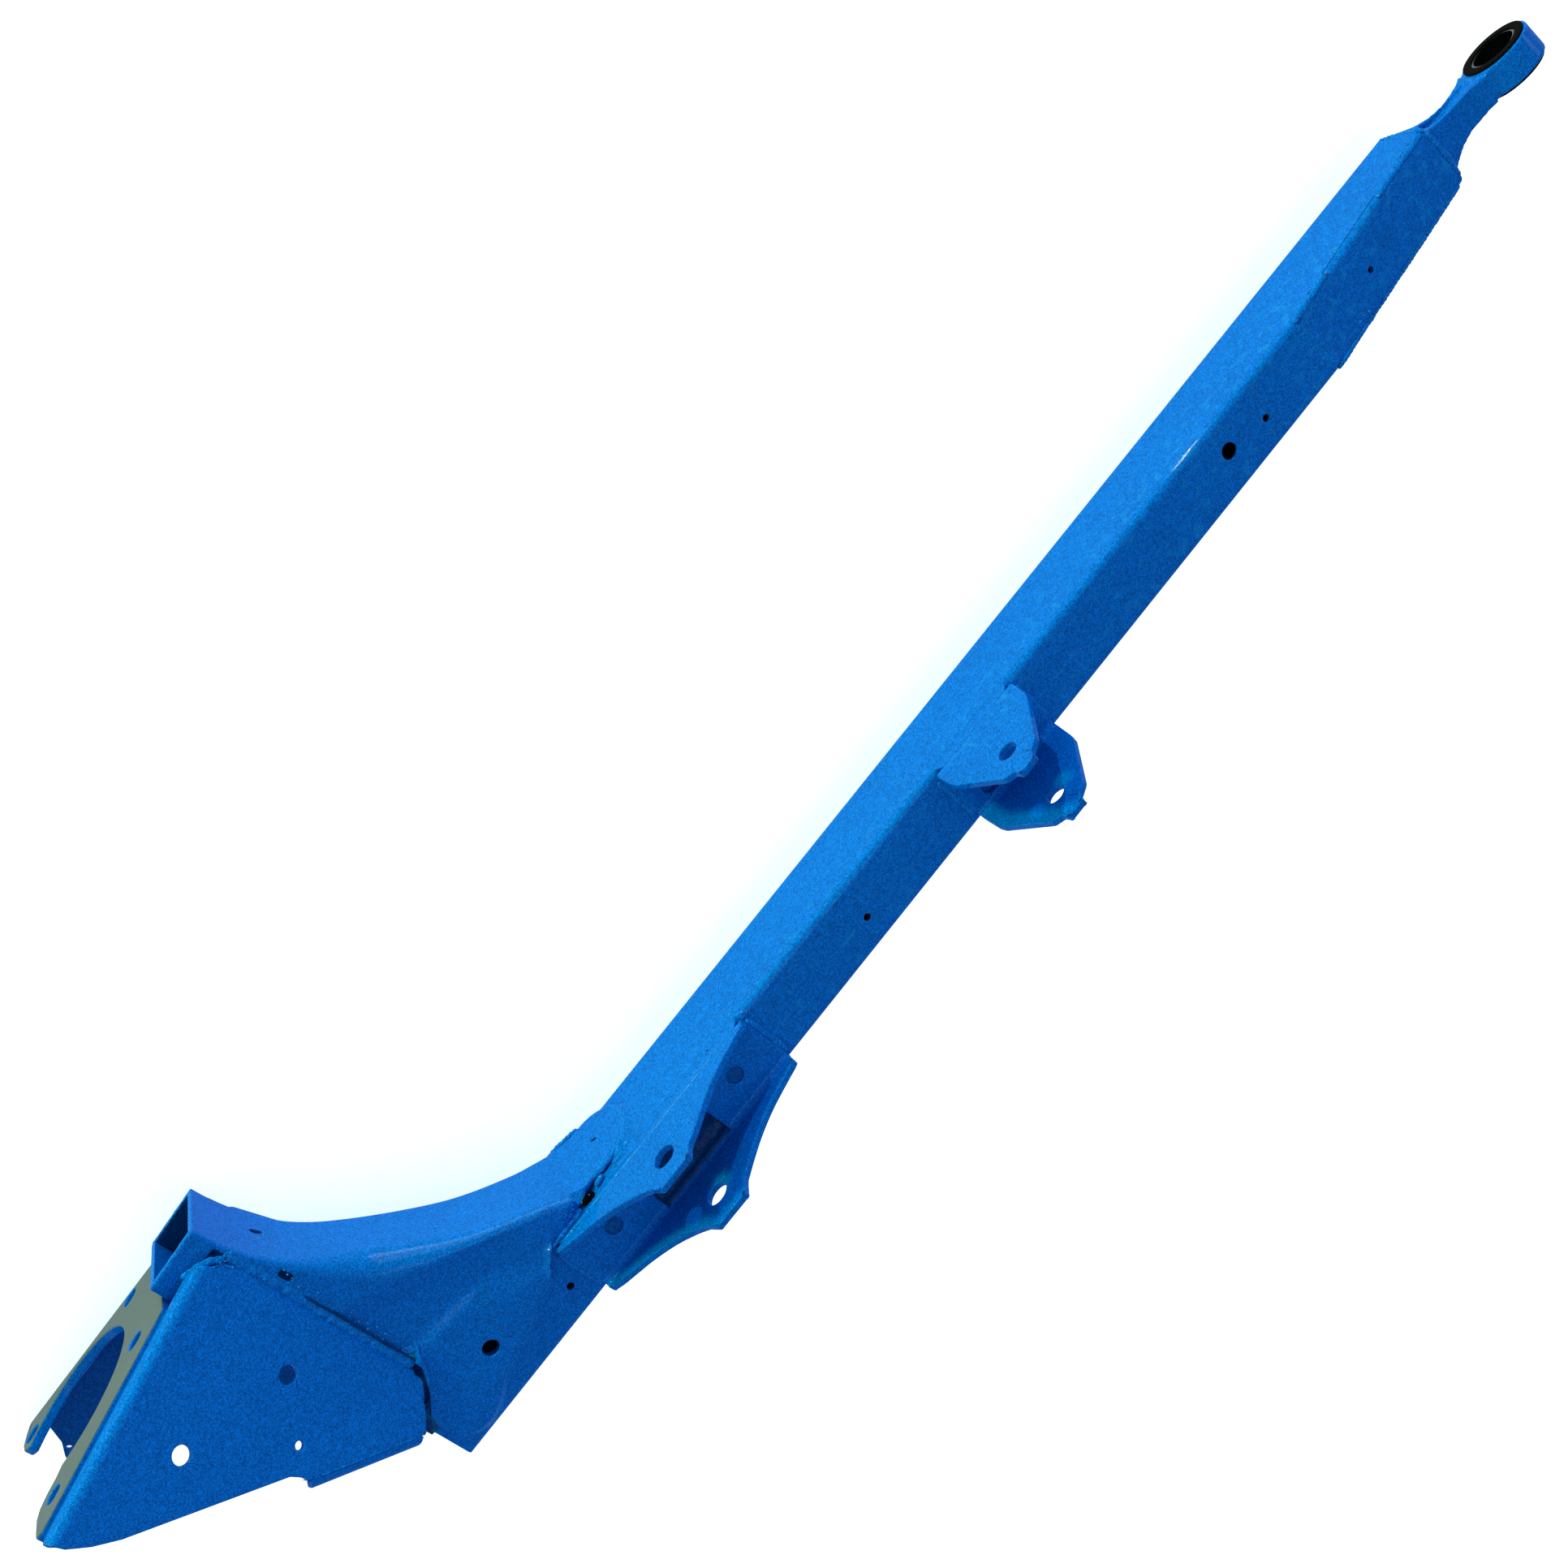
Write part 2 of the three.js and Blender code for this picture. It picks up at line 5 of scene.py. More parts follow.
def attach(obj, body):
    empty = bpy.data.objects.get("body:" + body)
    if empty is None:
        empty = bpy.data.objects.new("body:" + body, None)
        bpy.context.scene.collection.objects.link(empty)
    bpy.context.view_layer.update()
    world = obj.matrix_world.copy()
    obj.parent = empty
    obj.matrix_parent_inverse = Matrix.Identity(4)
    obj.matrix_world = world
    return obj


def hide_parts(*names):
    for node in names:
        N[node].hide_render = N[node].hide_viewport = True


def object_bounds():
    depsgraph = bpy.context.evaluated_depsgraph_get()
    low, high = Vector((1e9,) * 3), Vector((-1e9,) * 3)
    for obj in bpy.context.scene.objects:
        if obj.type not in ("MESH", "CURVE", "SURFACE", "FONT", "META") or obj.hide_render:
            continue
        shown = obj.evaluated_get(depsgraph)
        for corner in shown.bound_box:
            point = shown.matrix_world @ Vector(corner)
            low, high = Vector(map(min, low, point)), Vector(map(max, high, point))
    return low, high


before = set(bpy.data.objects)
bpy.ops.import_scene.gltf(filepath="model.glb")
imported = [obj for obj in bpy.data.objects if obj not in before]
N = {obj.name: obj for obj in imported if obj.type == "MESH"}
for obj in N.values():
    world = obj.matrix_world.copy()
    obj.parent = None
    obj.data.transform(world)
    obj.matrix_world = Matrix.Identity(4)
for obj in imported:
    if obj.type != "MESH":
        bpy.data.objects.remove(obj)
CAD_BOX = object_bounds()
random.seed(7)

# ------------------------------------------------------------------ dimensions (metres, tube frame -> part frame)
EYE = Vector((451.3, 0.0, -7.6))
def T(x, y, z):
    """tube-frame millimetres to part-frame metres"""
    return Vector(((x - EYE.x) / 1000, (y - EYE.y) / 1000, (z - EYE.z) / 1000))

# ------------------------------------------------------------------ materials
def mat(name):
    m = bpy.data.materials.new(name); m.use_nodes = True
    nt = m.node_tree
    b = nt.nodes["Principled BSDF"]
    return m, nt, b
def nd(nt, kind, **kw):
    n = nt.nodes.new(kind)
    for k, v in kw.items(): setattr(n, k, v)
    return n
def noise_tex(nt, scale, detail=2.0, rough=0.5, coord=None, dim='3D'):
    n = nd(nt, "ShaderNodeTexNoise"); n.inputs["Scale"].default_value = scale
    n.inputs["Detail"].default_value = detail; n.inputs["Roughness"].default_value = rough
    if coord is not None: nt.links.new(coord, n.inputs["Vector"])
    return n
def ramp(nt, src, stops):
    r = nd(nt, "ShaderNodeValToRGB")
    cr = r.color_ramp
    while len(cr.elements) > 1: cr.elements.remove(cr.elements[-1])
    cr.elements[0].position = stops[0][0]; cr.elements[0].color = stops[0][1]
    for p, c in stops[1:]:
        e = cr.elements.new(p); e.color = c
    nt.links.new(src, r.inputs[0])
    return r
def mix(nt, a, b, fac, mode='MIX'):
    m = nd(nt, "ShaderNodeMix", data_type='RGBA', blend_type=mode)
    for s, v in ((m.inputs[6], a), (m.inputs[7], b)):
        if hasattr(v, 'is_output') or isinstance(v, bpy.types.NodeSocket): nt.links.new(v, s)
        else: s.default_value = v
    if isinstance(fac, (int, float)): m.inputs[0].default_value = fac
    else: nt.links.new(fac, m.inputs[0])
    return m.outputs[2]
def math_n(nt, op, a, b=None, clamp=False):
    m = nd(nt, "ShaderNodeMath", operation=op, use_clamp=clamp)
    for i, v in enumerate((a, b)):
        if v is None: continue
        if isinstance(v, (int, float)): m.inputs[i].default_value = v
        else: nt.links.new(v, m.inputs[i])
    return m.outputs[0]
def g(v): return (v, v, v, 1)

def paint(name, deep=(0.0004, 0.088, 0.43), light=(0.0006, 0.124, 0.55), weldy=0.0, dark=1.0, edge=True, inside_shade=None, coat=0.085):
    """gloss metallic blue: fine flake, slight orange peel, and a painted highlight lightening the edges"""
    m, nt, b = mat(name)
    tc = nd(nt, "ShaderNodeTexCoord").outputs["Object"]
    big = noise_tex(nt, 14, 3, 0.55, tc)
    med = noise_tex(nt, 160, 4, 0.6, tc)
    flake = nd(nt, "ShaderNodeTexVoronoi", feature='F1'); flake.inputs["Scale"].default_value = 2100
    nt.links.new(tc, flake.inputs["Vector"])
    fl = nd(nt, "ShaderNodeSeparateColor"); nt.links.new(flake.outputs["Color"], fl.inputs[0])
    fine = noise_tex(nt, 1700, 2, 0.6, tc)
    c = mix(nt, (*[v * dark for v in deep], 1), (*[v * dark for v in light], 1), ramp(nt, big.outputs["Fac"], [(0.3, g(0.35)), (0.7, g(0.65))]).outputs[0])
    c = mix(nt, c, ramp(nt, fl.outputs[0], [(0.0, g(0.40)), (0.5, g(0.95)), (1.0, g(1.75))]).outputs[0], 0.72, 'MULTIPLY')
    c = mix(nt, c, ramp(nt, fine.outputs["Fac"], [(0.3, g(0.82)), (0.7, g(1.16))]).outputs[0], 0.4, 'MULTIPLY')
    # painted highlight: convex edges (pointiness) lightened toward a brighter blue, broken up by noise
    if edge:
        pt = nd(nt, "ShaderNodeNewGeometry").outputs["Pointiness"]
        ed = ramp(nt, pt, [(0.53, g(0)), (0.60, g(1))]).outputs[0]
        brk = ramp(nt, med.outputs["Fac"], [(0.52, g(0)), (0.62, g(1))]).outputs[0]
        painted_edge_highlight = math_n(nt, 'MULTIPLY', ed, brk); painted_edge_highlight = math_n(nt, 'MULTIPLY', painted_edge_highlight, 0.25)
        c = mix(nt, c, (0.01, 0.26, 0.66, 1), painted_edge_highlight)
    # painted shade: inside the tube (selected by object coordinates) the colour is darkened toward near-black brown
    if inside_shade:
        sp = nd(nt, "ShaderNodeSeparateXYZ"); nt.links.new(tc, sp.inputs[0])
        ya = math_n(nt, 'ABSOLUTE', sp.outputs[1]); za = math_n(nt, 'ABSOLUTE', math_n(nt, 'SUBTRACT', sp.outputs[2], inside_shade[2]))
        inn = math_n(nt, 'MULTIPLY', math_n(nt, 'LESS_THAN', ya, inside_shade[0]), math_n(nt, 'LESS_THAN', za, inside_shade[1]))
        c = mix(nt, c, mix(nt, c, (0.06, 0.05, 0.045, 1), 0.92, 'MULTIPLY'), inn)
    nt.links.new(c, b.inputs["Base Color"])
    b.inputs["Metallic"].default_value = 0.08
    b.inputs["Specular Tint"].default_value = (0.0, 0.42, 1.0, 1)
    rr = ramp(nt, med.outputs["Fac"], [(0.3, g(0.36)), (0.7, g(0.48))]).outputs[0]
    nt.links.new(rr, b.inputs["Roughness"])
    b.inputs["Specular IOR Level"].default_value = 0.0
    b.inputs["Coat Weight"].default_value = coat
    b.inputs["Coat Roughness"].default_value = 0.03
    b.inputs["Coat IOR"].default_value = 1.5
    # orange peel, plus lumpier coating over weld metal
    bump = nd(nt, "ShaderNodeBump"); bump.inputs["Strength"].default_value = 0.16 + 0.5 * weldy
    bump.inputs["Distance"].default_value = 0.0005 + 0.001 * weldy
    peel = noise_tex(nt, 420 if not weldy else 300, 3, 0.55, tc)
    h = peel.outputs["Fac"]
    if weldy:
        rip = noise_tex(nt, 700, 3, 0.6, tc)
        h = math_n(nt, 'ADD', h, math_n(nt, 'MULTIPLY', rip.outputs["Fac"], 0.6))
    nt.links.new(h, bump.inputs["Height"])
    nt.links.new(bump.outputs[0], b.inputs["Normal"])
    cb = nd(nt, "ShaderNodeBump"); cb.inputs["Strength"].default_value = 0.045 + 0.4 * weldy; cb.inputs["Distance"].default_value = 0.0004 + 0.0006 * weldy
    nt.links.new(peel.outputs["Fac"], cb.inputs["Height"]); nt.links.new(cb.outputs[0], b.inputs["Coat Normal"])
    return m
PAINT = paint("paint_blue")
# tube paint, with painted shade darkening its inside
PAINT_T = paint("paint_tube", inside_shade=(0.0171, 0.0243, 0.0076))
# glossier copy of the paint: painted highlight band on the shell shoulder
PAINT_GL_HIGHLIGHT = paint("paint_blue_highlight_band", coat=0.9); PAINT_GL_HIGHLIGHT.node_tree.nodes["Principled BSDF"].inputs["Coat Roughness"].default_value = 0.11
# darker copy of the paint: painted shade for the shell's inner faces
PAINT_IN_SHADE = paint("paint_inside_painted_shade", dark=0.30)
# darker copy of the paint: painted shade for the carrier's inside
PAINT_MID_SHADE = paint("paint_inside_mid_shade", dark=0.62)
# darker copy of the paint: painted shade on the plug welds' dimples
PAINT_PL_SHADE = paint("paint_plug_painted_shade", dark=0.60, weldy=0.5)
# darkened weldy paint: painted shade for recesses (window floor, under the keyhole slit, the seam line)
PAINT_WD_SHADE = paint("paint_weld_recess_shade", dark=0.30, weldy=0.9)
PAINT_W = paint("paint_weld", deep=(0.0004, 0.1, 0.46), light=(0.0006, 0.14, 0.58), weldy=1.0, coat=0.10)
PAINT_SP = paint("paint_spatter", deep=(0.0004, 0.1, 0.46), light=(0.0006, 0.14, 0.58), weldy=0.4, coat=0.8)

def bare_face():
    """masked, uncoated mounting face: blasted blue-grey steel"""
    m, nt, b = mat("masked_steel")
    tc = nd(nt, "ShaderNodeTexCoord").outputs["Object"]
    n1 = noise_tex(nt, 1400, 3, 0.7, tc); n2 = noise_tex(nt, 26, 3, 0.6, tc)
    c = ramp(nt, n1.outputs["Fac"], [(0.3, (0.022, 0.040, 0.047, 1)), (0.7, (0.074, 0.092, 0.104, 1))]).outputs[0]
    c = mix(nt, c, ramp(nt, n2.outputs["Fac"], [(0.3, g(0.8)), (0.7, g(1.15))]).outputs[0], 0.6, 'MULTIPLY')
    nt.links.new(c, b.inputs["Base Color"])
    b.inputs["Metallic"].default_value = 0.35
    nt.links.new(ramp(nt, n1.outputs["Fac"], [(0.3, g(0.5)), (0.7, g(0.65))]).outputs[0], b.inputs["Roughness"])
    bu = nd(nt, "ShaderNodeBump"); bu.inputs["Strength"].default_value = 0.25; bu.inputs["Distance"].default_value = 0.0003
    nt.links.new(n1.outputs["Fac"], bu.inputs["Height"]); nt.links.new(bu.outputs[0], b.inputs["Normal"])
    return m
BARE = bare_face()

def black(name, lo, hi, r0, r1, metal, coat, scale=500, bumpd=0.0002):
    m, nt, b = mat(name)
    tc = nd(nt, "ShaderNodeTexCoord").outputs["Object"]
    n1 = noise_tex(nt, scale, 4, 0.6, tc); n2 = noise_tex(nt, 60, 3, 0.6, tc)
    c = ramp(nt, n1.outputs["Fac"], [(0.3, (*lo, 1)), (0.7, (*hi, 1))]).outputs[0]
    c = mix(nt, c, ramp(nt, n2.outputs["Fac"], [(0.35, g(0.75)), (0.7, g(1.25))]).outputs[0], 0.6, 'MULTIPLY')
    nt.links.new(c, b.inputs["Base Color"])
    b.inputs["Metallic"].default_value = metal
    nt.links.new(ramp(nt, n1.outputs["Fac"], [(0.3, g(r0)), (0.7, g(r1))]).outputs[0], b.inputs["Roughness"])
    b.inputs["Coat Weight"].default_value = coat; b.inputs["Coat Roughness"].default_value = 0.1; b.inputs["Specular IOR Level"].default_value = 0.12
    bu = nd(nt, "ShaderNodeBump"); bu.inputs["Strength"].default_value = 0.3; bu.inputs["Distance"].default_value = bumpd
    nt.links.new(n1.outputs["Fac"], bu.inputs["Height"]); nt.links.new(bu.outputs[0], b.inputs["Normal"])
    return m
BUSH = black("bush_black", (0.0008, 0.0007, 0.0006), (0.0028, 0.0022, 0.0018), 0.7, 0.85, 0.0, 0.0); BUSH.node_tree.nodes["Principled BSDF"].inputs["Specular IOR Level"].default_value = 0.015
SLEEVE = black("sleeve_black", (0.0005, 0.0005, 0.0005), (0.0015, 0.0015, 0.0015), 0.16, 0.26, 0.0, 0.12)

# ------------------------------------------------------------------ carried-over CAD nodes
def finish_mesh(o, m, bevel=0.0005, seg=3, angle=32, dissolve=True):
    o.data.materials.clear(); o.data.materials.append(m)
    w = o.modifiers.new("weld", 'WELD'); w.merge_threshold = 0.00001
    if dissolve:
        d = o.modifiers.new("flat", 'DECIMATE'); d.decimate_type = 'DISSOLVE'; d.angle_limit = math.radians(0.6)
    if bevel:
        b = o.modifiers.new("edge", 'BEVEL'); b.width = bevel; b.segments = seg; b.limit_method = 'ANGLE'; b.angle_limit = math.radians(angle)
        b.harden_normals = False; b.use_clamp_overlap = True; b.miter_outer = 'MITER_ARC'
    for p in o.data.polygons: p.use_smooth = True
    wn = o.modifiers.new("wn", 'WEIGHTED_NORMAL'); wn.keep_sharp = True; wn.weight = 60
for n, o in N.items():
    if n == 'pivot_sleeve': finish_mesh(o, SLEEVE, 0.0003, 2)
    elif n.startswith('bush'): finish_mesh(o, BUSH, 0.0004, 3)
    elif 'weld' in n: finish_mesh(o, PAINT_W, 0.0005, 3, 20)
    elif n == 'main_tube': finish_mesh(o, PAINT_T, 0.0006, 3)
    else: finish_mesh(o, PAINT, 0.0006, 3)
    # painted shade: the bottom plate's upward faces, inside the carrier, take the darkened paint
    if n == 'carrier_bottom_plate':
        o.data.materials.append(PAINT_MID_SHADE)
        for p in o.data.polygons: p.material_index = 1 if p.normal.z > 0.3 else 0


# ------------------------------------------------------------------ mesh builders (tube-frame millimetres)
def new_obj(name, bm, m, body="arm", smooth=True):
    me = bpy.data.meshes.new(name); bm.to_mesh(me); bm.free()
    o = bpy.data.objects.new(name, me); bpy.context.scene.collection.objects.link(o)
    for x in (m if isinstance(m, (list, tuple)) else [m]): me.materials.append(x)
    if smooth:
        for p in me.polygons: p.use_smooth = True
    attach(o, body)
    return o
def edge_mods(o, bevel=0.0005, seg=3, angle=40):
    if bevel:
        b = o.modifiers.new("edge", 'BEVEL'); b.width = bevel; b.segments = seg; b.limit_method = 'ANGLE'
        b.angle_limit = math.radians(angle); b.use_clamp_overlap = False; b.miter_outer = 'MITER_ARC'
    wn = o.modifiers.new("wn", 'WEIGHTED_NORMAL'); wn.keep_sharp = True; wn.weight = 60
def circ(cx, cy, r, n=36):
    return [(cx + r * math.cos(2 * math.pi * i / n), cy + r * math.sin(2 * math.pi * i / n)) for i in range(n)]
def slot2(cx, cy, ln, wd, ang=0, n=8):
    r = wd / 2; h = ln / 2 - r; c, s = math.cos(ang), math.sin(ang); p = []
    for sg in (1, -1):
        for i in range(n + 1):
            t = -math.pi / 2 + math.pi * i / n + (math.pi if sg < 0 else 0)
            x = sg * h + r * math.cos(t); y = r * math.sin(t); p.append((cx + c * x - s * y, cy + s * x + c * y))
    return p
def rpoly(pts, dr=0, seg=6):
    out = []; n = len(pts)
    for i in range(n):
        P = pts[i]; A = pts[i - 1]; B = pts[(i + 1) % n]; r0 = P[2] if len(P) > 2 else dr
        if not r0: out.append((P[0], P[1])); continue
        a = Vector((A[0] - P[0], A[1] - P[1])); b = Vector((B[0] - P[0], B[1] - P[1])); la, lb = a.length, b.length; a.normalize(); b.normalize()
        th = math.acos(max(-1, min(1, a.dot(b))))
        d = min(r0 / math.tan(th / 2), 0.45 * la, 0.45 * lb); r = d * math.tan(th / 2)
        bi = (a + b).normalized(); c = Vector((P[0], P[1])) + bi * (r / math.sin(th / 2))
        s = Vector((P[0], P[1])) + a * d; e = Vector((P[0], P[1])) + b * d
        t0 = math.atan2(s.y - c.y, s.x - c.x); t1 = math.atan2(e.y - c.y, e.x - c.x); dt = t1 - t0
        while dt > math.pi: dt -= 2 * math.pi
        while dt < -math.pi: dt += 2 * math.pi
        for k in range(seg + 1): out.append((c.x + r * math.cos(t0 + dt * k / seg), c.y + r * math.sin(t0 + dt * k / seg)))
    return out
def smooth_curve(pts, n=6):
    """Catmull-Rom through points"""
    out = []; P = [Vector(p) for p in pts]
    for i in range(len(P) - 1):
        a = P[max(0, i - 1)]; b = P[i]; c = P[i + 1]; d = P[min(len(P) - 1, i + 2)]
        for k in range(n):
            t = k / n
            out.append(tuple(0.5 * ((2 * b) + (c - a) * t + (2 * a - 5 * b + 4 * c - d) * t * t + (3 * b - a - 3 * c + d) * t ** 3)))
    out.append(tuple(P[-1])); return out
def sheet(name, outer, holes, thick, mapf, cutx=(), cuty=(), m=None, bevel=0.0005, seg=3, angle=40, body="arm", fmat=None, mods=True):
    """flat pattern cut, thickened, then folded by mapf(u, v, w)"""
    bm = bmesh.new(); edges = []
    for loop in [outer] + list(holes):
        vs = [bm.verts.new((p[0], p[1], 0)) for p in loop]
        for i in range(len(vs)): edges.append(bm.edges.new((vs[i], vs[(i + 1) % len(vs)])))
    bmesh.ops.triangle_fill(bm, use_beauty=True, use_dissolve=False, edges=edges, normal=(0, 0, 1))
    for x in cutx: bmesh.ops.bisect_plane(bm, geom=bm.verts[:] + bm.edges[:] + bm.faces[:], dist=1e-5, plane_co=(x, 0, 0), plane_no=(1, 0, 0))
    for y in cuty: bmesh.ops.bisect_plane(bm, geom=bm.verts[:] + bm.edges[:] + bm.faces[:], dist=1e-5, plane_co=(0, y, 0), plane_no=(0, 1, 0))
    # merge the triangulation inside flat cells
    bmesh.ops.dissolve_limit(bm, angle_limit=0.001, use_dissolve_boundaries=False, verts=bm.verts[:], edges=[e for e in bm.edges if not (cutx or cuty)])
    orig = bm.faces[:]
    r = bmesh.ops.extrude_face_region(bm, geom=orig, use_keep_orig=True)
    for v in [g_ for g_ in r["geom"] if isinstance(g_, bmesh.types.BMVert)]: v.co.z = thick
    for v in bm.verts: v.co = T(*mapf(v.co.x, v.co.y, v.co.z))
    bmesh.ops.recalc_face_normals(bm, faces=bm.faces[:])
    if fmat:
        for f in bm.faces: f.material_index = fmat(f)
    o = new_obj(name, bm, m or PAINT, body)
    if mods: edge_mods(o, bevel, seg, angle)
    return o
def grid(name, rows, m, body="arm", close_u=False, thick=None, mods=()):
    bm = bmesh.new(); V = [[bm.verts.new(T(*p)) for p in r] for r in rows]
    for i in range(len(V) - 1 + (1 if close_u else 0)):
        a, b = V[i], V[(i + 1) % len(V)]
        for j in range(len(a) - 1):
            try: bm.faces.new((a[j], a[j + 1], b[j + 1], b[j]))
            except ValueError: pass
    return bm
def bead(name, path, r, up=(0, 0, 1), flat=0.7, pitch=2.6, amp=0.14, seed=0, m=None, body="arm", taper=3.0, step=0.6, wander=0.25):
    """weld bead: a rippled, lumpy swept half-round laid on a path"""
    P = [Vector(p) for p in path]; L = [0]
    for a, b in zip(P, P[1:]): L.append(L[-1] + (b - a).length)
    n = max(8, int(L[-1] / step)); cen = []; tan = []
    for i in range(n + 1):
        s = L[-1] * i / n; k = max(0, min(len(P) - 2, next((j for j in range(len(L) - 1) if L[j + 1] >= s), len(P) - 2)))
        f = (s - L[k]) / max(1e-6, L[k + 1] - L[k]); cen.append(P[k].lerp(P[k + 1], f)); 
    for i in range(n + 1): tan.append((cen[min(n, i + 1)] - cen[max(0, i - 1)]).normalized())
    bm = bmesh.new(); K = 14; rows = []
    ups = up if isinstance(up, list) else [up, up]
    for i in range(n + 1):
        s = L[-1] * i / n; u = Vector(ups[0]).lerp(Vector(ups[-1]), i / n); t = tan[i]; u = (u - t * u.dot(t)).normalized(); sd = t.cross(u)
        e = min(1, s / taper, (L[-1] - s) / taper); e = max(0.12, math.sqrt(max(0, 1 - (1 - e) ** 2)))
        rp = abs(math.sin(math.pi * s / pitch + 0.8 * noise.noise(Vector((s * 0.12, seed, 3.1))))) 
        rr = r * e * (1 - amp + amp * rp + 0.22 * noise.noise(Vector((s * 0.22, seed * 3.7, 0.5))))
        cc = cen[i] + sd * (wander * r * noise.noise(Vector((s * 0.15, seed * 1.3, 7.7))))
        row = []
        for k in range(K):
            a = 2 * math.pi * k / K
            q = cc + sd * (rr * math.cos(a)) + u * (rr * flat * math.sin(a))
            q += (sd * math.cos(a) + u * math.sin(a)) * (0.10 * r * noise.noise(Vector((q.x * 0.9, q.y * 0.9, q.z * 0.9 + seed))))
            row.append(bm.verts.new(T(*q)))
        rows.append(row)
    for i in range(n):
        for k in range(K): bm.faces.new((rows[i][k], rows[i][(k + 1) % K], rows[i + 1][(k + 1) % K], rows[i + 1][k]))
    bm.faces.new(rows[0]); bm.faces.new(rows[-1][::-1])
    bmesh.ops.recalc_face_normals(bm, faces=bm.faces[:])
    return new_obj(name, bm, m or PAINT_W, body)
def blobs(name, pts, m=None, body="arm"):
    bm = bmesh.new()
    for (x, y, z, r) in pts:
        s = bmesh.ops.create_icosphere(bm, subdivisions=2, radius=r / 1000)
        for v in s["verts"]: v.co = v.co * (1 + 0.18 * noise.noise(v.co * 900 + Vector((x, y, z)))) + T(x, y, z)
    return new_obj(name, bm, m or PAINT_W, body)
def join(name, objs, *nodes):
    """one object from several finished ones"""
    bpy.ops.object.select_all(action='DESELECT')
    for o in objs: o.select_set(True)
    bpy.context.view_layer.objects.active = objs[0]; bpy.ops.object.join(); objs[0].name = name
    return objs[0]

# ------------------------------------------------------------------ U brackets
def ubracket(name, outline, hole, hr, webcuts, node, t=3.8, zb=25.7, o=19.3, Ro=7.6):
    L0 = o - Ro; arc = Ro * math.pi / 2; L1 = L0 + arc; zt = zb + Ro
    def mp(u, x, w):
        s = abs(u); sg = 1 if u >= 0 else -1
        if s <= L0: y, z = s, zb + w
        elif s <= L1:
            f = (s - L0) / Ro; y = L0 + (Ro - w) * math.sin(f); z = zb + Ro - (Ro - w) * math.cos(f)
        else: y, z = o - w, zt + (s - L1)
        if sg > 0 and node == "shock_bracket" and s > L1 + 27:
            k = min(1.0, (s - L1 - 27) / 10.0); z -= 2.2 * k * k * (3 - 2 * k); x -= 1.4 * k * k * (3 - 2 * k)
        return (x, sg * y, z)
    # outline: list of (x, z) round the ear, left foot to right foot, above the bend
    ear = [(L1 + (z - zt), x) for x, z in outline]
    xl, xr = outline[0][0], outline[-1][0]
    pts = [(u, x) for u, x in ear] + [(-u, x) for u, x in reversed(ear)]
    holes = [[(L1 + (q - zt), p) for p, q in circ(hole[0], hole[1], hr)], [(-(L1 + (q - zt)), p) for p, q in circ(hole[0], hole[1], hr)]]
    holes += [[(b, a) for a, b in c] for c in webcuts]
    cuts = []
    for sg in (1, -1):
        cuts += [sg * (L0 + arc * k / 8) for k in range(9)]
    ob = sheet(name, pts, holes, t, mp, cutx=cuts, bevel=0.0007, seg=3, angle=42)
    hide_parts(node)
    return ob
link_out = rpoly([(-15.2, 31.8, 0), (-15.2, 46, 4), (-14.3, 51, 3), (-0.4, 81.6, 4), (4.6, 84.6, 1.5), (5.8, 90, 1.5), (16.4, 90, 1.5), (17.6, 84.6, 1.5), (24, 80.3, 5), (40, 50.3, 3), (41, 46, 4), (42.2, 31.8, 0)], 0, 6)
ubracket("link_bracket_sheet", link_out, (12.0, 68.6), 5.1, [circ(-1.2, -8, 4.2)], "link_bracket")
sh_out = [(-301.9, 31.8)] + smooth_curve([(-301.5, 33.2), (-296, 36.3), (-288, 39.4), (-277, 43.8), (-264, 51.0), (-253, 59.6), (-246.6, 66.0)], 5) + rpoly([(-246.6, 66.0), (-245.4, 68.4, 1.5), (-242.6, 73.6, 2), (-222.6, 73.9, 2), (-219.8, 68, 2), (-218, 64.8)], 0, 5)[1:-1] + smooth_curve([(-218, 64.8), (-208.5, 56.6), (-198, 48.8), (-186, 42.2), (-172, 37.0), (-164.5, 34.4), (-163.1, 31.8)], 5)
ubracket("shock_bracket_sheet", sh_out, (-233.0, 55.1), 6.1,
         [rpoly([(-255, -17.4), (-208, -17.4), (-208, 13.2), (-255, 13.2)], 1.5, 4), circ(-277, 1.6, 4.5), circ(-186, 1.6, 4.5)], "shock_bracket")
for nm, x in (("plug_weld_rear", -277), ("plug_weld_front", -186)):
    bm = bmesh.new(); R = []
    for k in range(9):
        r = 4.75 * math.sin(math.pi / 2 * (1 - k / 8)) if k else 4.75
        zc = 28.4 - 0.3 * math.cos(math.pi / 2 * (1 - k / 8)) + 0.55 * (k / 8) ** 2
        R.append([bm.verts.new(T(x + r * math.cos(a) * (1 + 0.05 * noise.noise(Vector((a, k, x)))), 1.6 + r * math.sin(a), zc + 0.35 * noise.noise(Vector((r * math.cos(a) * 0.5, r * math.sin(a) * 0.5, x))))) for a in [2 * math.pi * i / 40 for i in range(40)]])
    low = [bm.verts.new(T(x + 4.75 * math.cos(a), 1.6 + 4.75 * math.sin(a), 25.9)) for a in [2 * math.pi * i / 40 for i in range(40)]]
    R = [low] + R
    for a, b in zip(R, R[1:]):
        for i in range(40): bm.faces.new((a[i], a[(i + 1) % 40], b[(i + 1) % 40], b[i]))
    bm.faces.new(R[-1]); bm.faces.new(R[0][::-1]); bmesh.ops.recalc_face_normals(bm, faces=bm.faces[:])
    ob = new_obj(nm + "_bead", bm, PAINT_PL_SHADE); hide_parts(nm)

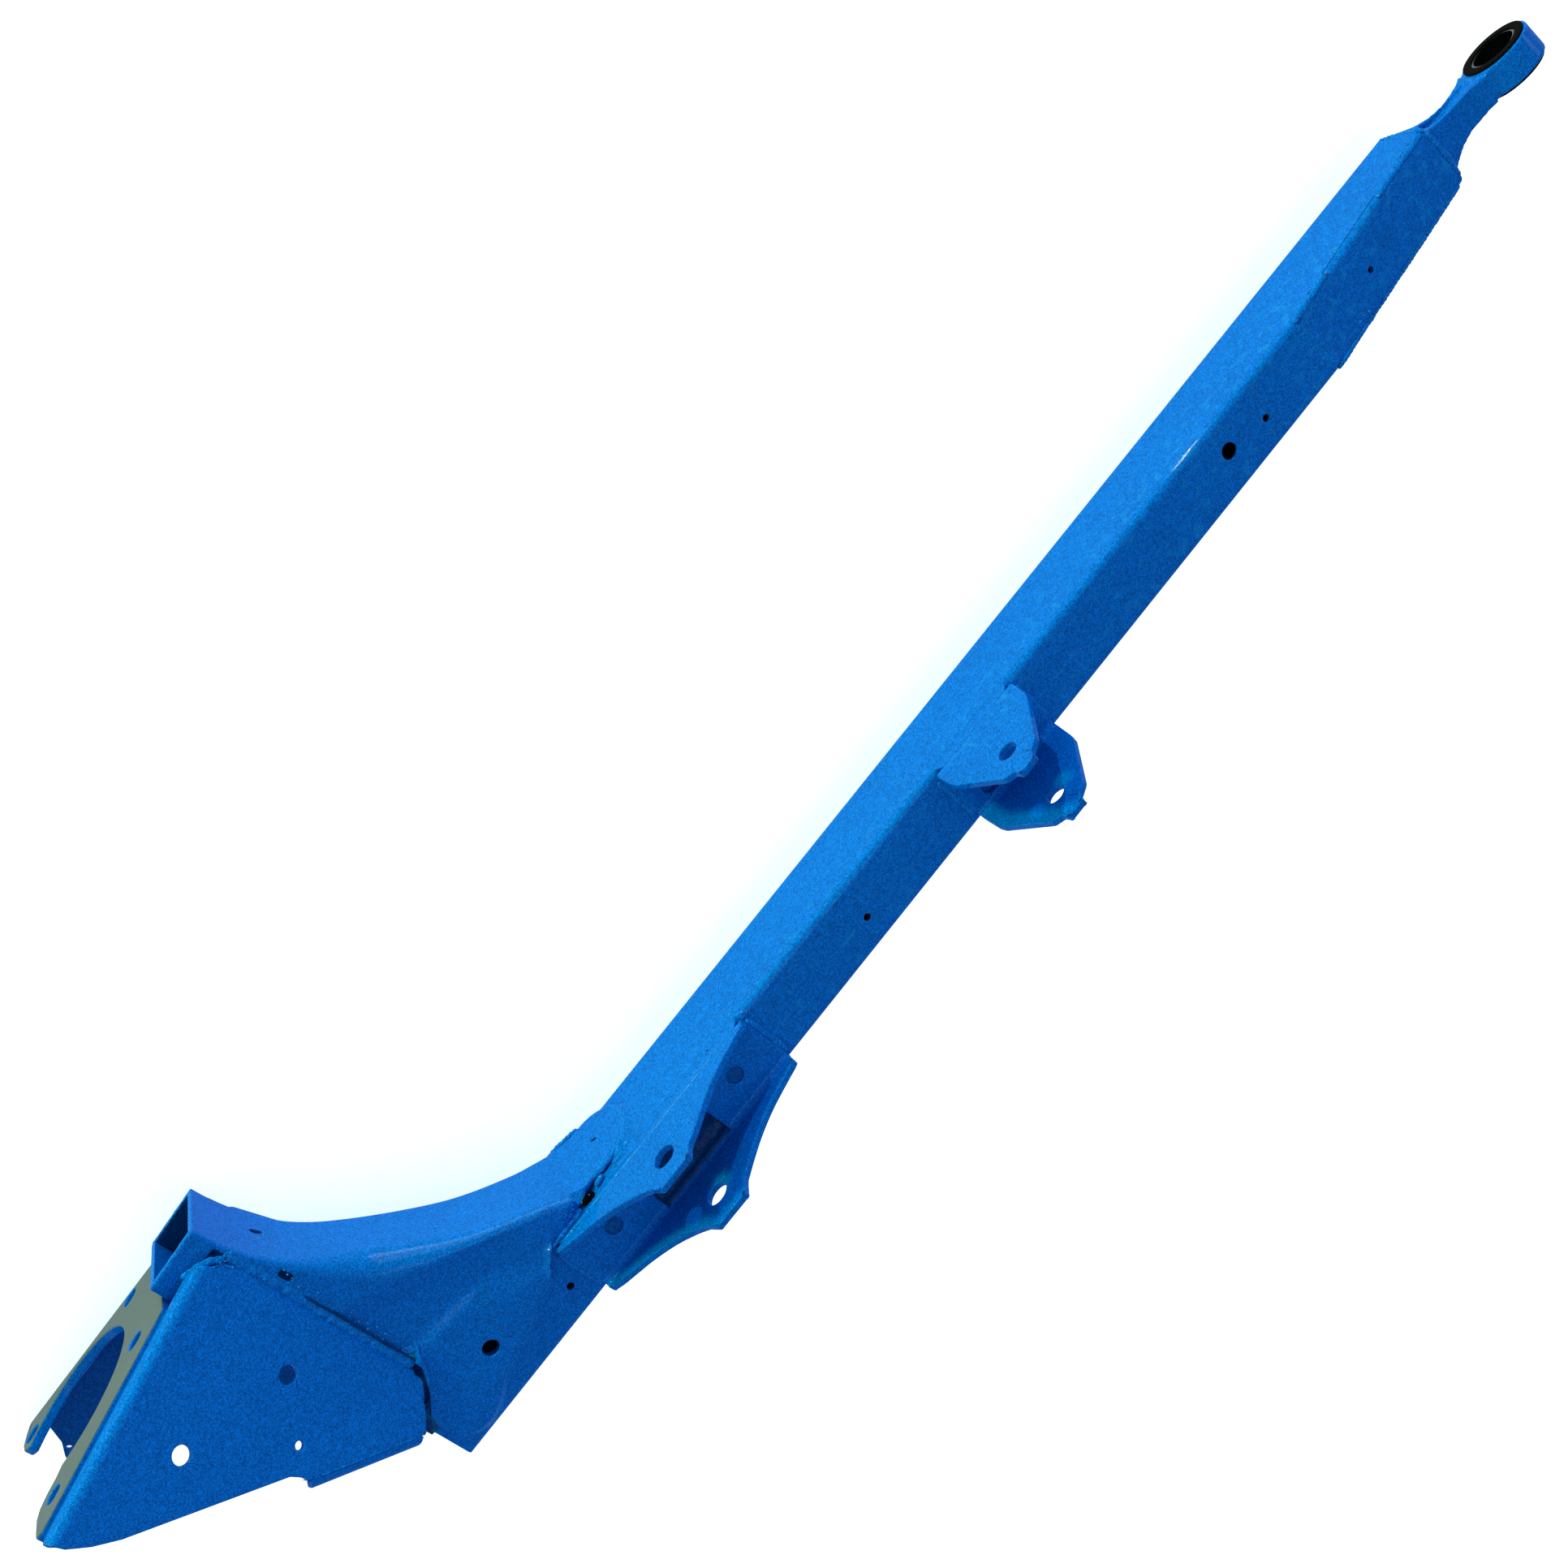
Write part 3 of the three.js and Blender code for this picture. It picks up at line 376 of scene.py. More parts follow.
# ------------------------------------------------------------------ carrier top plate, folded hub-side lip
CAM = math.radians(9.3); RAKE = math.radians(30)
cR, sR, cC, sC = math.cos(RAKE), math.sin(RAKE), math.cos(CAM), math.sin(CAM)
PO = Vector((-380.5, 0, 28.4)); uD = Vector((-cR, 0, sR)); vD = Vector((sR, 0, cR)); YV = Vector((0, 1, 0))
PRO = 4.6; PYB = 156.9 - PRO; PTH = math.radians(90 + 9.3); PARC = PRO * PTH
def plate_map(y, u, w):
    # w: 0 top face .. 3 underside
    w = 3.0 - w if False else w
    if y <= PYB: q = PO + uD * u + YV * y - vD * w
    elif y <= PYB + PARC:
        f = (y - PYB) / PRO; q = PO + uD * u + YV * (PYB + (PRO - w) * math.sin(f)) + vD * (-PRO + (PRO - w) * math.cos(f))
    else:
        f = PTH; k = y - PYB - PARC
        q = PO + uD * u + YV * (PYB + (PRO - w) * math.sin(f) + math.cos(f) * k) + vD * (-PRO + (PRO - w) * math.cos(f) - math.sin(f) * k)
    # drawn-down front edge and outer corner where it meets the shell
    d = u - 3.6
    if y > 30 and d < 5.0:
        dd = max(0.0, 1 - max(d, 0) / 5.0); q = q - vD * (1.5 * dd * dd)
    return q
lipY = PYB + PARC + 4.0
pl = rpoly([(37, 3, 0), (139, 3, 2), (145.5, 5, 3), (150.2, 9.5, 6), (lipY - 4, 13, 3), (lipY, 19.5, 2), (lipY, 136.5, 2), (lipY - 3, 139.4, 2), (156.8, 139.2, 3), (149, 137.5, 4), (139, 132, 4), (128.4, 124.2, 3), (70.6, 70.4, 4), (65, 68.2, 3), (61.2, 67.9, 1.0), (17.2, 25.5, 1.5), (19.2, 22.0, 3), (24.6, 14, 4), (29.4, 7.4, 3), (31.0, 4.6, 1.5), (35.6, 4.4, 1.2)], 0, 6)
cuts = [PYB + PARC * k / 10 for k in range(11)]
ob = sheet("carrier_top_sheet", pl, [circ(94, 33.2, 4.45), circ(122, 84, 4.45), circ(73.4, 57, 2.1, 24)], 3.0, plate_map, cutx=cuts, cuty=[3.6 + 0.625 * k for k in range(1, 9)] + [14 + 6.5 * k for k in range(0, 20)], bevel=0.0006, angle=42)
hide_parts("carrier_top_plate")
# diagonal edge flange of the same plate
e0 = Vector((28.6, 14.2)); e1 = Vector((71, 58.2)); eL = (e1 - e0).length; ed = (e1 - e0) / eL
def dl_map(s, k, w):
    # s along edge, k down, w inward
    inw = Vector((-ed.y, ed.x)); r = 4.2
    if k < r * math.pi / 2:
        f = k / r; off = r - (r - w) * math.sin(f); dn = r - (r - w) * math.cos(f)
    else: off = w; dn = r + (k - r * math.pi / 2)
    b = e0 + ed * s + inw * off
    return PO + uD * b.x + YV * b.y - vD * dn
ob = sheet("carrier_edge_flange", rpoly([(1.5, 0, 0), (eL - 1, 0, 0), (eL - 2.0, 11, 2), (5, 11, 2)], 0, 4), [], 3.0, dl_map, cuty=[4.2 * math.pi / 2 * k / 8 for k in range(1, 9)], bevel=0.0005)

# ------------------------------------------------------------------ hub flange
FO = PO - vD * 10; FO.y = 158
wv = Vector((vD.x * cC, sC, vD.z * cC)); nIn = wv.cross(uD)
fl = [(0, 33.4), (-0.4, 135, ), (-4, 138), (-9.2, 135.6), (-19.6, 130), (-24.4, 125), (-26.2, 118.5), (-26.2, 111)]
fl = rpoly([(q, u, 2.5 if 0 < i < 7 else 0) for i, (q, u) in enumerate(fl)], 0, 4)
a0, a1 = math.radians(57), math.radians(289)
fl += [(-64.5 + 43.5 * math.sin(a0 + (a1 - a0) * i / 72), 81 + 43.5 * math.cos(a0 + (a1 - a0) * i / 72)) for i in range(73)]
fl += rpoly([(-108.9, 96.6, 0), (-112, 97.2, 2), (-118.4, 94.8, 3), (-125, 89, 3), (-129.2, 84.4, 3), (-128.6, 81, 2), (-59.4, 0.4, 0)], 0, 4)
ob = sheet("hub_flange_sheet", fl, [circ(q, u, 4.6) for u, q in ((47.5, -18), (22.8, -70), (88.6, -114), (118.2, -15))], 5.0,
           lambda q, u, w: FO + wv * q + uD * u + nIn * w, m=[PAINT, BARE], bevel=0.0009, seg=3, angle=40,
           fmat=lambda f: 1 if f.normal.y > 0.9 else 0)
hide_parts("hub_flange")

# ------------------------------------------------------------------ stamped outer shell
SHT = 2.8; SHZ = 28.5
def smf(t): t = min(1, max(0, t)); return t * t * (3 - 2 * t)
def lean(q):
    x, y, z = q
    return (x, y + math.tan(CAM) * smf((-248 - x) / 52) * smf((y - 19.6) / 9) * (z + SHZ), z)
SOLVER = "FAST"
FRONT = [(-235.1, 21.9), (-238, 22.0), (-246, 22.1), (-258, 22.3), (-266, 22.7), (-275, 24.2), (-285, 27.4), (-294, 31.8), (-308, 41), (-323, 52.8), (-340, 70), (-355, 87.2), (-366, 102), (-374, 117.5), (-379, 134), (-381, 148), (-381.5, 158)]
BACK = [(-235.1, 19.5), (-238, 19.5), (-246, 19.5), (-258, 19.7), (-268, 20.4), (-285, 20.6), (-303.5, 21), (-308.7, 18.2), (-313, 13), (-314.2, 9.4), (-320, 8.2), (-328, 6.8), (-341, 1.3), (-358, -2.5), (-366, -4.6), (-377.5, -10.8), (-387.5, -13), (-395.5, -9.6), (-400, -3.2), (-401, 7), (-398.6, 13.4), (-391, 20.5), (-381.5, 24.2), (-376.6, 28), (-375.6, 31.5), (-378, 34.2), (-383.3, 36.5), (-383.3, 144), (-413, 144), (-413, 155.4)]
def resample(pts, marks, counts):
    out = []
    for (a, b), n in zip(zip(marks, marks[1:]), counts):
        seg = [Vector(p) for p in pts[a:b + 1]]; L = [0]
        for p, q in zip(seg, seg[1:]): L.append(L[-1] + (q - p).length)
        for i in range(n):
            s = L[-1] * i / n; k = next((j for j in range(len(L) - 1) if L[j + 1] >= s - 1e-9), len(L) - 2)
            out.append(seg[k].lerp(seg[k + 1], (s - L[k]) / max(1e-9, L[k + 1] - L[k])))
    out.append(Vector(pts[marks[-1]])); return out
FS = smooth_curve(FRONT, 8)
F = resample(FS, [0, 8 * 3, 8 * 5, 8 * 7, 8 * 8, 8 * 9, 8 * 11 - 2, 8 * 15, 8 * 15 + 4, 8 * 16], [16, 16, 18, 30, 26, 24, 44, 18, 6])
B = resample(BACK, [0, 3, 5, 9, 15, 20, 26, 27, 28, 29], [16, 16, 18, 30, 26, 24, 44, 18, 6])
def htop(x):
    if x >= -262: return -1.2 + math.sqrt(max(0.5, 22.3 ** 2 - (max(x, -257) + 257) ** 2))
    return SHZ + (21.1 - SHZ) * smf((x + 279) / 17)
def hbot(x):
    if x >= -262: return -1.2 - math.sqrt(max(0.5, 22.3 ** 2 - (max(x, -257) + 257) ** 2))
    return -SHZ + (-23.5 + SHZ) * smf((x + 290) / 28)
def emboss(x, y):
    """relief of the stamped skin, mm, on its top face"""
    h = 0.0
    d = (y - (31 - 0.0036 * (x + 375) ** 2))
    h -= 1.7 * smf((d + 3.0) / 8.0) * smf((x + 392) / 14) * smf((-300 - x) / 26)
    d2 = y - (42 + 0.55 * max(0, -333 - x))
    h += 1.7 * smf((d2 + 2.0) / 14.0) * smf((x + 392) / 14) * smf((-300 - x) / 26)
    return h
rows = []
for i in range(len(F)):
    f, b = F[i], B[i]; D = (b - f).length; dr = (b - f) / max(1e-6, D); xx = f.x
    HT, HB = htop(xx), hbot(xx)
    R = 2.0 + 12.0 * smf((-300 - xx) / 70) * smf((xx + 384) / 42) + 2.4 * smf((-266 - xx) / 14) * smf((xx + 384) / 60)
    R = min(R, 0.72 * D, 0.55 * (HT - HB)); RB = min(R, 5.0)
    row = []; K = 10; NS = 26; W = 8
    def pt(d, z): return (f.x + dr.x * d, f.y + dr.y * d, z)
    for k in range(NS + 1): row.append(lean(pt(D + (RB - D) * k / NS, HB)))
    for k in range(1, K + 1):
        a = math.pi / 2 * k / K; row.append(lean(pt(RB - RB * math.sin(a), HB + RB - RB * math.cos(a))))
    for k in range(1, W): row.append(lean(pt(0, (HB + RB) + (HT - HB - R - RB) * k / W)))
    for k in range(0, K + 1):
        a = math.pi / 2 * k / K; row.append(lean(pt(R - R * math.cos(a), HT - R + R * math.sin(a))))
    for k in range(1, NS + 1):
        d = R + (D - R) * k / NS; p = pt(d, HT); e = emboss(p[0], p[1]) * smf((D - d) / 3.0) * smf((d - R) / 4.0)
        row.append(lean((p[0], p[1], HT + e)))
    rows.append(row)
bm = grid("x", rows, PAINT)
bmesh.ops.recalc_face_normals(bm, faces=bm.faces[:])
tops = [f_ for f_ in bm.faces if abs(f_.normal.z) > 0.9 and f_.calc_center_median().z > 0.02]
if sum(1 if f_.normal.z > 0 else -1 for f_ in tops) < 0: bmesh.ops.reverse_faces(bm, faces=bm.faces[:])
shell = new_obj("outer_shell_stamping", bm, PAINT)
so = shell.modifiers.new("thick", 'SOLIDIFY'); so.thickness = SHT / 1000; so.offset = -1; so.use_even_offset = False
def cutter(loop, mapf, depth):
    bm = bmesh.new(); f_ = bm.faces.new([bm.verts.new((p[0], p[1], 0)) for p in loop])
    r = bmesh.ops.extrude_face_region(bm, geom=[f_], use_keep_orig=True)
    for v in [g_ for g_ in r["geom"] if isinstance(g_, bmesh.types.BMVert)]: v.co.z = depth
    for v in bm.verts: v.co = T(*mapf(v.co.x, v.co.y, v.co.z))
    bmesh.ops.recalc_face_normals(bm, faces=bm.faces[:])
    me = bpy.data.meshes.new("cut"); bm.to_mesh(me); bm.free(); o = bpy.data.objects.new("cut", me); bpy.context.scene.collection.objects.link(o)
    return o
def apply_mods(o):
    bpy.context.view_layer.update()
    dg = bpy.context.evaluated_depsgraph_get(); me = bpy.data.meshes.new_from_object(o.evaluated_get(dg))
    o.modifiers.clear(); o.data = me
def cut_holes(o, cs):
    for c in cs:
        b_ = o.modifiers.new("cut", 'BOOLEAN'); b_.operation = 'DIFFERENCE'; b_.object = c; b_.solver = SOLVER; b_.use_self = False
    apply_mods(o)
    for c in cs:
        me = c.data; bpy.data.objects.remove(c); bpy.data.meshes.remove(me)
apply_mods(shell)
rm = shell.modifiers.new("skin", 'REMESH'); rm.mode = 'VOXEL'; rm.voxel_size = 0.0007; rm.use_smooth_shade = True
sm = shell.modifiers.new("flow", 'SMOOTH'); sm.factor = 0.5; sm.iterations = 3
apply_mods(shell)
SOLVER = "EXACT"
cut_holes(shell, [cutter(circ(-356.7, 11.9, 4.4), lambda x, y, z: (x, y, 22 + z), 10),
      cutter(slot2(-377.1, 118.0, 8, 4, math.pi / 2), lambda x, y, z: (x, y, 22 + z), 10),
      cutter(slot2(-273.9, 26.2, 9.5, 5.2, 0.15), lambda x, z, y: (x, 21.4 + y, z), 8),
      cutter(slot2(128.5, -4.2, 7.0, 4.2, 0.2), lambda y, z, x: (-384 + x, y, z), 12),
      cutter(slot2(-254.2, -2.5, 3.4, 1.6, 0.5), lambda x, z, y: (x, 18 + y, z), 8)])
shell.data.materials.clear(); shell.data.materials.append(PAINT); shell.data.materials.append(PAINT_IN_SHADE); shell.data.materials.append(PAINT_GL_HIGHLIGHT)
# painted shade: inward-facing shell faces take the darkened paint (slot 1)
for p in shell.data.polygons:
    p.use_smooth = True; c_ = p.center; n_ = p.normal; zc = (c_.z * 1000 + EYE.z); yc = c_.y * 1000; xc = c_.x * 1000 + EYE.x
    inn = (n_.z < -0.5 and zc > 0 and zc < 27.6) or (n_.z > 0.5 and zc < 0 and zc > -27.6) or (abs(n_.z) <= 0.5 and (n_.x + n_.y) < -0.4 and xc < -262 and xc > -382.2 and abs(zc) < 26.5)
    # painted highlight: shoulder faces turned toward the lights get the glossy copy (slot 2)
    p.material_index = 1 if inn else (2 if 0.36 < n_.z < 0.74 and -352 < xc < -274 and n_.y > 0.2 and zc > 14 else 0)
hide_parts("outer_shell")

# ------------------------------------------------------------------ forged pivot end: flowing surfaces
fo = N["pivot_forging"]; fo.modifiers.clear()
w_ = fo.modifiers.new("weld", 'WELD'); w_.merge_threshold = 0.00001
rm = fo.modifiers.new("skin", 'REMESH'); rm.mode = 'VOXEL'; rm.voxel_size = 0.0006; rm.use_smooth_shade = True
sm = fo.modifiers.new("flow", 'SMOOTH'); sm.factor = 0.5; sm.iterations = 4

# ------------------------------------------------------------------ weld beads
NZ = lambda x: 25.4 - 0.163 * (x - 268)
def B_(name, path, r, node=None, **k):
    o = bead(name, path, r, **k)
    if node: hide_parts(*([node] if isinstance(node, str) else node))
    return o
ang = [math.radians(98 - 196 * i / 40) for i in range(41)]
def strip(name, frames, prof, m=None, rough=0.12, seed=0, pitch=3.0, rip=0.0, taper=4):
    """weld laid as a fillet: closed profile (out, up) swept along frames (origin, out, up)"""
    bm = bmesh.new(); rows = []; n = len(frames); s = 0.0
    for i, (o_, a_, u_) in enumerate(frames):
        o_, a_, u_ = Vector(o_), Vector(a_), Vector(u_)
        if i: s += (o_ - Vector(frames[i - 1][0])).length
        e = min(1, (i + 0.6) / taper, (n - 0.4 - i) / taper); row = []
        for (p_, q_) in prof:
            k = 1 + rip * (abs(math.sin(math.pi * s / pitch)) - 0.6)
            v = o_ + a_ * (p_ * (0.4 + 0.6 * e)) + u_ * (q_ * (k if q_ > 0 else 1) * (0.08 + 0.92 * e))
            if q_ > 0: v += u_ * rough * noise.noise(v * 0.33 + Vector((seed, 0, 0))) + a_ * rough * 1.5 * noise.noise(v * 0.2 + Vector((0, seed, 5)))
            row.append(bm.verts.new(T(*v)))
        rows.append(row)
    K = len(prof)
    for a_, b_ in zip(rows, rows[1:]):
        for k in range(K): bm.faces.new((a_[k], a_[(k + 1) % K], b_[(k + 1) % K], b_[k]))
    bm.faces.new(rows[0]); bm.faces.new(rows[-1][::-1])
    bmesh.ops.recalc_face_normals(bm, faces=bm.faces[:])
    return new_obj(name, bm, m or PAINT_W)
ang = [math.radians(84 - 146 * i / 80) for i in range(81)]
tp = [(-1.4, -2.6), (-1.4, 2.86), (-0.6, 3.0), (0.3, 2.85), (1.1, 2.2), (1.9, 1.4), (2.8, 0.65), (3.5, 0.2), (4.0, -0.3)]
o = strip("tongue_fillet", [((-257 + 22.0 * math.cos(a), 19.05, -1.2 + 22.0 * math.sin(a)), (math.cos(a), 0, math.sin(a)), (0, 1, 0)) for a in ang], tp, seed=1, rough=0.10, rip=0.0, pitch=3.6, taper=12)
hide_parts("weld_tongue")
B_("shell_top_bead_front", [(-261, 20.2, 22.4), (-264, 20.2, 23.4), (-267.5, 20.3, 24.4)], 1.6, up=(0, 0.5, 0.85), flat=0.75, amp=0.16, seed=31, pitch=3.4)
blobs("slot_shade", [(-276.2, 19.7, 25.3, 1.7), (-273.9, 19.7, 25.5, 1.8), (-271.6, 19.7, 25.3, 1.7)], BUSH)
B_("shell_top_bead", [(-279.5, 20.1, 26.7), (-284, 20.1, 27.0), (-294, 20.2, 27.4), (-304, 20.0, 27.2), (-309.5, 17.4, 27.0), (-313.5, 12.9, 26.8)], 2.0, up=(0, 0.5, 0.85), flat=0.75, amp=0.16, seed=2, pitch=3.4)
B_("shell_bottom_bead", [(-258, 20.4, -25.0), (-270, 20.6, -27.4), (-290, 20.6, -28.2), (-320, 20.4, -28.2)], 2.4, up=(0, 0.5, -0.85), flat=0.8, amp=0.2, seed=3)
def fillet(name, path, side, z0, prof, node=None, n=90, **k):
    """fillet along a plan-view path: side = +1 when the outward normal is to the path's right"""
    P = smooth_curve(path, 10); P = [Vector((p[0], p[1])) for p in P]; fr = []
    for i_, p_ in enumerate(P):
        a_ = P[max(0, i_ - 1)]; b_ = P[min(len(P) - 1, i_ + 1)]; d_ = (b_ - a_).normalized(); fr.append(((p_.x, p_.y, z0), (d_.y * side, -d_.x * side, 0), (0, 0, 1)))
    o = strip(name, fr, prof, **k)
    if node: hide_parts(node)
    return o
lp = [(-1.4, -0.6), (-1.4, 2.75), (-0.5, 2.95), (0.3, 2.75), (1.1, 2.1), (1.9, 1.35), (2.8, 0.7), (3.7, 0.25), (4.2, -0.2)]
fillet("lobe_fillet", [(-314.2, 9.4), (-320, 8.2), (-328, 6.8), (-341, 1.3), (-358, -2.5), (-366, -4.6), (-377.5, -10.4), (-387.0, -12.4), (-394.6, -9.6), (-399.4, -3.0)], -1, 25.4, lp, "weld_lobe", seed=4, rough=0.14, taper=6)
sp = [(-3.4, -3.0), (-3.4, 0.1), (-2.0, 0.75), (-0.6, 1.15), (0.6, 0.95), (1.6, 0.45), (2.8, 0.02), (3.2, -0.4), (3.2, -1.5)]
def seam(name, y0, y1, node, seed):
    n = int((y1 - y0) / 0.7)
    o = strip(name, [((-383.0 + 0.5 * noise.noise(Vector((y * 0.12, seed, 0))), y, 28.5), (1, 0, 0), (0, 0, 1)) for y in [y0 + (y1 - y0) * i / n for i in range(n + 1)]], sp, seed=seed, rough=0.5, rip=0.12, pitch=2.8)
    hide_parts(node)
seam("seam_fill_inner", 38.5, 116, "weld_seam_inner", 5)
seam("seam_fill_outer", 115, 148, "weld_seam_outer", 6)
B_("corner_bead", [(-384.5, 146, 28.9), (-388, 151.5, 29.6), (-394, 155.4, 30.4), (-401, 158.0, 31.0)], 1.7, up=(0.4, 0.4, 1), flat=0.5, amp=0.12, seed=7)
npf = [(-4.2, -0.5), (-3.4, 0.06), (-2.0, 0.22), (0.0, 0.30), (2.0, -0.05), (3.4, -0.42), (4.0, -1.0), (0, -1.6)]
n_ = 50
o = strip("nose_root_weld", [((268.3 + 0.4 * noise.noise(Vector((i_ * 0.15, 3, 0))), -16.4 + 32.8 * i_ / n_, 25.4), (1, 0, 0), (0, 0, 1)) for i_ in range(n_ + 1)], npf, seed=8, rough=0.10, taper=5)
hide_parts("weld_nose_rear")
B_("nose_edge_rear", [(266, 18.1, 24.9), (280, 18.2, NZ(280) - 1.3), (297, 18.3, NZ(297) - 1.6)], 1.9, up=(0, 0.7, 0.7), flat=0.6, amp=0.18, seed=9)
B_("nose_edge_front", [(345, 18.3, NZ(345) - 1.6), (366, 18.2, NZ(366) - 1.5), (387, 17.8, NZ(387) - 1.6)], 1.9, up=(0, 0.7, 0.7), flat=0.6, amp=0.2, seed=10)
B_("nose_edge_inboard", [(268, -18.2, 24.6), (300, -18.3, NZ(300) - 1.6), (340, -18.3, NZ(340) - 1.6), (386, -18.0, NZ(386) - 1.6)], 2.0, up=(0, -0.7, 0.7), flat=0.6, amp=0.2, seed=11)
B_("neck_bead_outboard", [(381.0, 17.4, -23.5), (384.5, 17.6, -12), (388.4, 17.8, 0), (389.2, 16.6, 4.2)], 2.3, "weld_neck_outboard", up=(0.7, 0.7, 0), flat=0.8, amp=0.28, seed=12)
B_("neck_bead_inboard", [(381.0, -17.4, -23.5), (384.5, -17.6, -12), (388.4, -17.8, 0), (389.2, -16.6, 4.2)], 2.3, "weld_neck_inboard", up=(0.7, -0.7, 0), flat=0.8, amp=0.28, seed=13)
B_("neck_bead_top", [(389.0, 15.8, 4.0), (390.0, 8, 4.4), (390.2, -2, 4.4), (389.2, -15.8, 4.0)], 2.2, up=(0.6, 0, 0.8), flat=0.75, amp=0.2, seed=14)
B_("neck_bead_bottom", [(381.4, 15.8, -23.4), (382, 0, -23.6), (381.4, -15.8, -23.4)], 2.2, up=(0.6, 0, -0.8), flat=0.75, amp=0.2, seed=15)
B_("shock_bead_rear", [(-303.0, 14.5, 26.3), (-303.3, 0, 26.4), (-303.0, -14.5, 26.3)], 2.3, "weld_shock_rear", up=(-0.4, 0, 1), flat=0.6, amp=0.12, seed=16)
B_("shock_bead_front", [(-162.0, 14.5, 26.3), (-161.7, 0, 26.4), (-162.0, -14.5, 26.3)], 2.3, "weld_shock_front", up=(0.4, 0, 1), flat=0.6, amp=0.12, seed=17)
B_("link_bead_rear", [(-16.0, 13.5, 26.3), (-16.2, 0, 26.3), (-16.0, -13.5, 26.3)], 2.0, "weld_link_rear", up=(-0.4, 0, 1), flat=0.6, amp=0.12, seed=18)
B_("link_bead_front", [(43.0, 13.5, 26.3), (43.2, 0, 26.3), (43.0, -13.5, 26.3)], 2.0, "weld_link_front", up=(0.4, 0, 1), flat=0.6, amp=0.12, seed=19)
gp = [(-5.0, 0.0), (-0.9, -4.3), (-0.35, -3.4), (-0.45, -1.6), (-0.7, 0.2), (-0.55, 2.2), (-0.1, 4.2), (0.02, 5.4), (-1.6, 6.2), (-4.2, 2.2)]
for sg, t_ in ((1, "out"), (-1, "in")):
    for nm, xa, xb in (("shock", -299.5, -165.5), ("link", -12.5, 40.0)):
        n_ = int((xb - xa) / 0.8)
        o = strip(nm + "_foot_weld_" + t_, [((xa + (xb - xa) * i_ / n_, sg * 19.1, 25.6), (0, sg, 0), (0, 0, 1)) for i_ in range(n_ + 1)], gp, m=PAINT, seed=20 + sg, rough=0.06, taper=5)
# window floor weld: its darkened paint is painted shade in the recess under the near ear
bm = bmesh.new(); V = [[bm.verts.new(T(-254.6 + 46.2 * a_ / 92, -16.4 + 29.3 * b_ / 52, 25.75 + 1.5 * math.exp(-((abs(-12.9 + 25.8 * b_ / 52) - 9.5) / 2.6) ** 2) + 0.45 * noise.noise(Vector((a_ * 0.11, b_ * 0.13, 2))) + 0.22 * noise.noise(Vector((a_ * 0.5, b_ * 0.5, 9))))) for b_ in range(53)] for a_ in range(93)]
for a_ in range(92):
    for b_ in range(52): bm.faces.new((V[a_][b_], V[a_ + 1][b_], V[a_ + 1][b_ + 1], V[a_][b_ + 1]))
rim = [V[a_][0] for a_ in range(93)] + [V[92][b_] for b_ in range(1, 53)] + [V[a_][52] for a_ in range(91, -1, -1)] + [V[0][b_] for b_ in range(51, 0, -1)]
lo_ = [bm.verts.new((v.co.x, v.co.y, T(0, 0, 25.42).z)) for v in rim]
for k_ in range(len(rim)): bm.faces.new((rim[k_], rim[(k_ + 1) % len(rim)], lo_[(k_ + 1) % len(rim)], lo_[k_]))
bm.faces.new(lo_); bmesh.ops.recalc_face_normals(bm, faces=bm.faces[:])
o = new_obj("window_weld_floor", bm, PAINT_WD_SHADE)
B_("window_edge_glint", [(-253.5, -14.2, 30.2), (-209.5, -14.2, 30.2)], 0.34, up=(0, 0, 1), flat=1.0, amp=0.0, seed=30, wander=0.0, m=BARE)
# spatter: small frozen drops beside the welds
rs = random.Random(11); pts = []
def spat(n, f):
    for _ in range(n): pts.append((*f(), rs.uniform(0.28, 0.6)))
spat(46, lambda: (rs.uniform(-375, -381), rs.uniform(38, 122), 28.6))
spat(14, lambda: (rs.uniform(-386, -391), rs.uniform(44, 118), 29.6))
spat(46, lambda: (lambda x: (x, 33.6 - 0.0036 * (x + 375) ** 2 + rs.uniform(-1.6, 1.6), 28.0))(rs.uniform(-374, -336)))
spat(10, lambda: (rs.uniform(-302, -270), rs.uniform(22, 26), 28.3))
spat(22, lambda: (rs.uniform(-398, -384), rs.uniform(139, 154), 31.6))
spat(5, lambda: (rs.uniform(262, 300), rs.uniform(-14, 14), 25.3 if rs.random() < 0 else 25.0))
pts += [(-160.5, 17.6, 25.0, 0.9), (-185, 19.0, 23.2, 0.6), (-163.4, -15.0, 30.2, 0.8), (297, 18.6, 20.2, 0.8), (346, 18.6, 12.4, 0.9), (-62, 19.0, 20, 0.5)]
ob = blobs("weld_spatter", pts, PAINT_SP)

# thin lighter weld-paint line along the edge fold: painted highlight
fp = []
for i_ in range(13):
    b_ = e0 + ed * (3 + (eL - 5) * i_ / 12) + Vector((-ed.y, ed.x)) * 4.5
    fp.append(tuple(PO + uD * b_.x + YV * b_.y + vD * 0.02))
B_("edge_fold_highlight_line", fp, 0.34, up=tuple(vD), flat=0.7, amp=0.0, seed=32, wander=0.0)

def patch(name, loop, z0, z1, m):
    bm = bmesh.new(); lo_ = [bm.verts.new(T(x, y, z0)) for x, y in loop]; hi_ = [bm.verts.new(T(x, y, z1)) for x, y in loop]
    bm.faces.new(hi_); bm.faces.new(lo_[::-1])
    for k_ in range(len(loop)): bm.faces.new((lo_[k_], lo_[(k_ + 1) % len(loop)], hi_[(k_ + 1) % len(loop)], hi_[k_]))
    bmesh.ops.recalc_face_normals(bm, faces=bm.faces[:]); o = new_obj(name, bm, m); return o
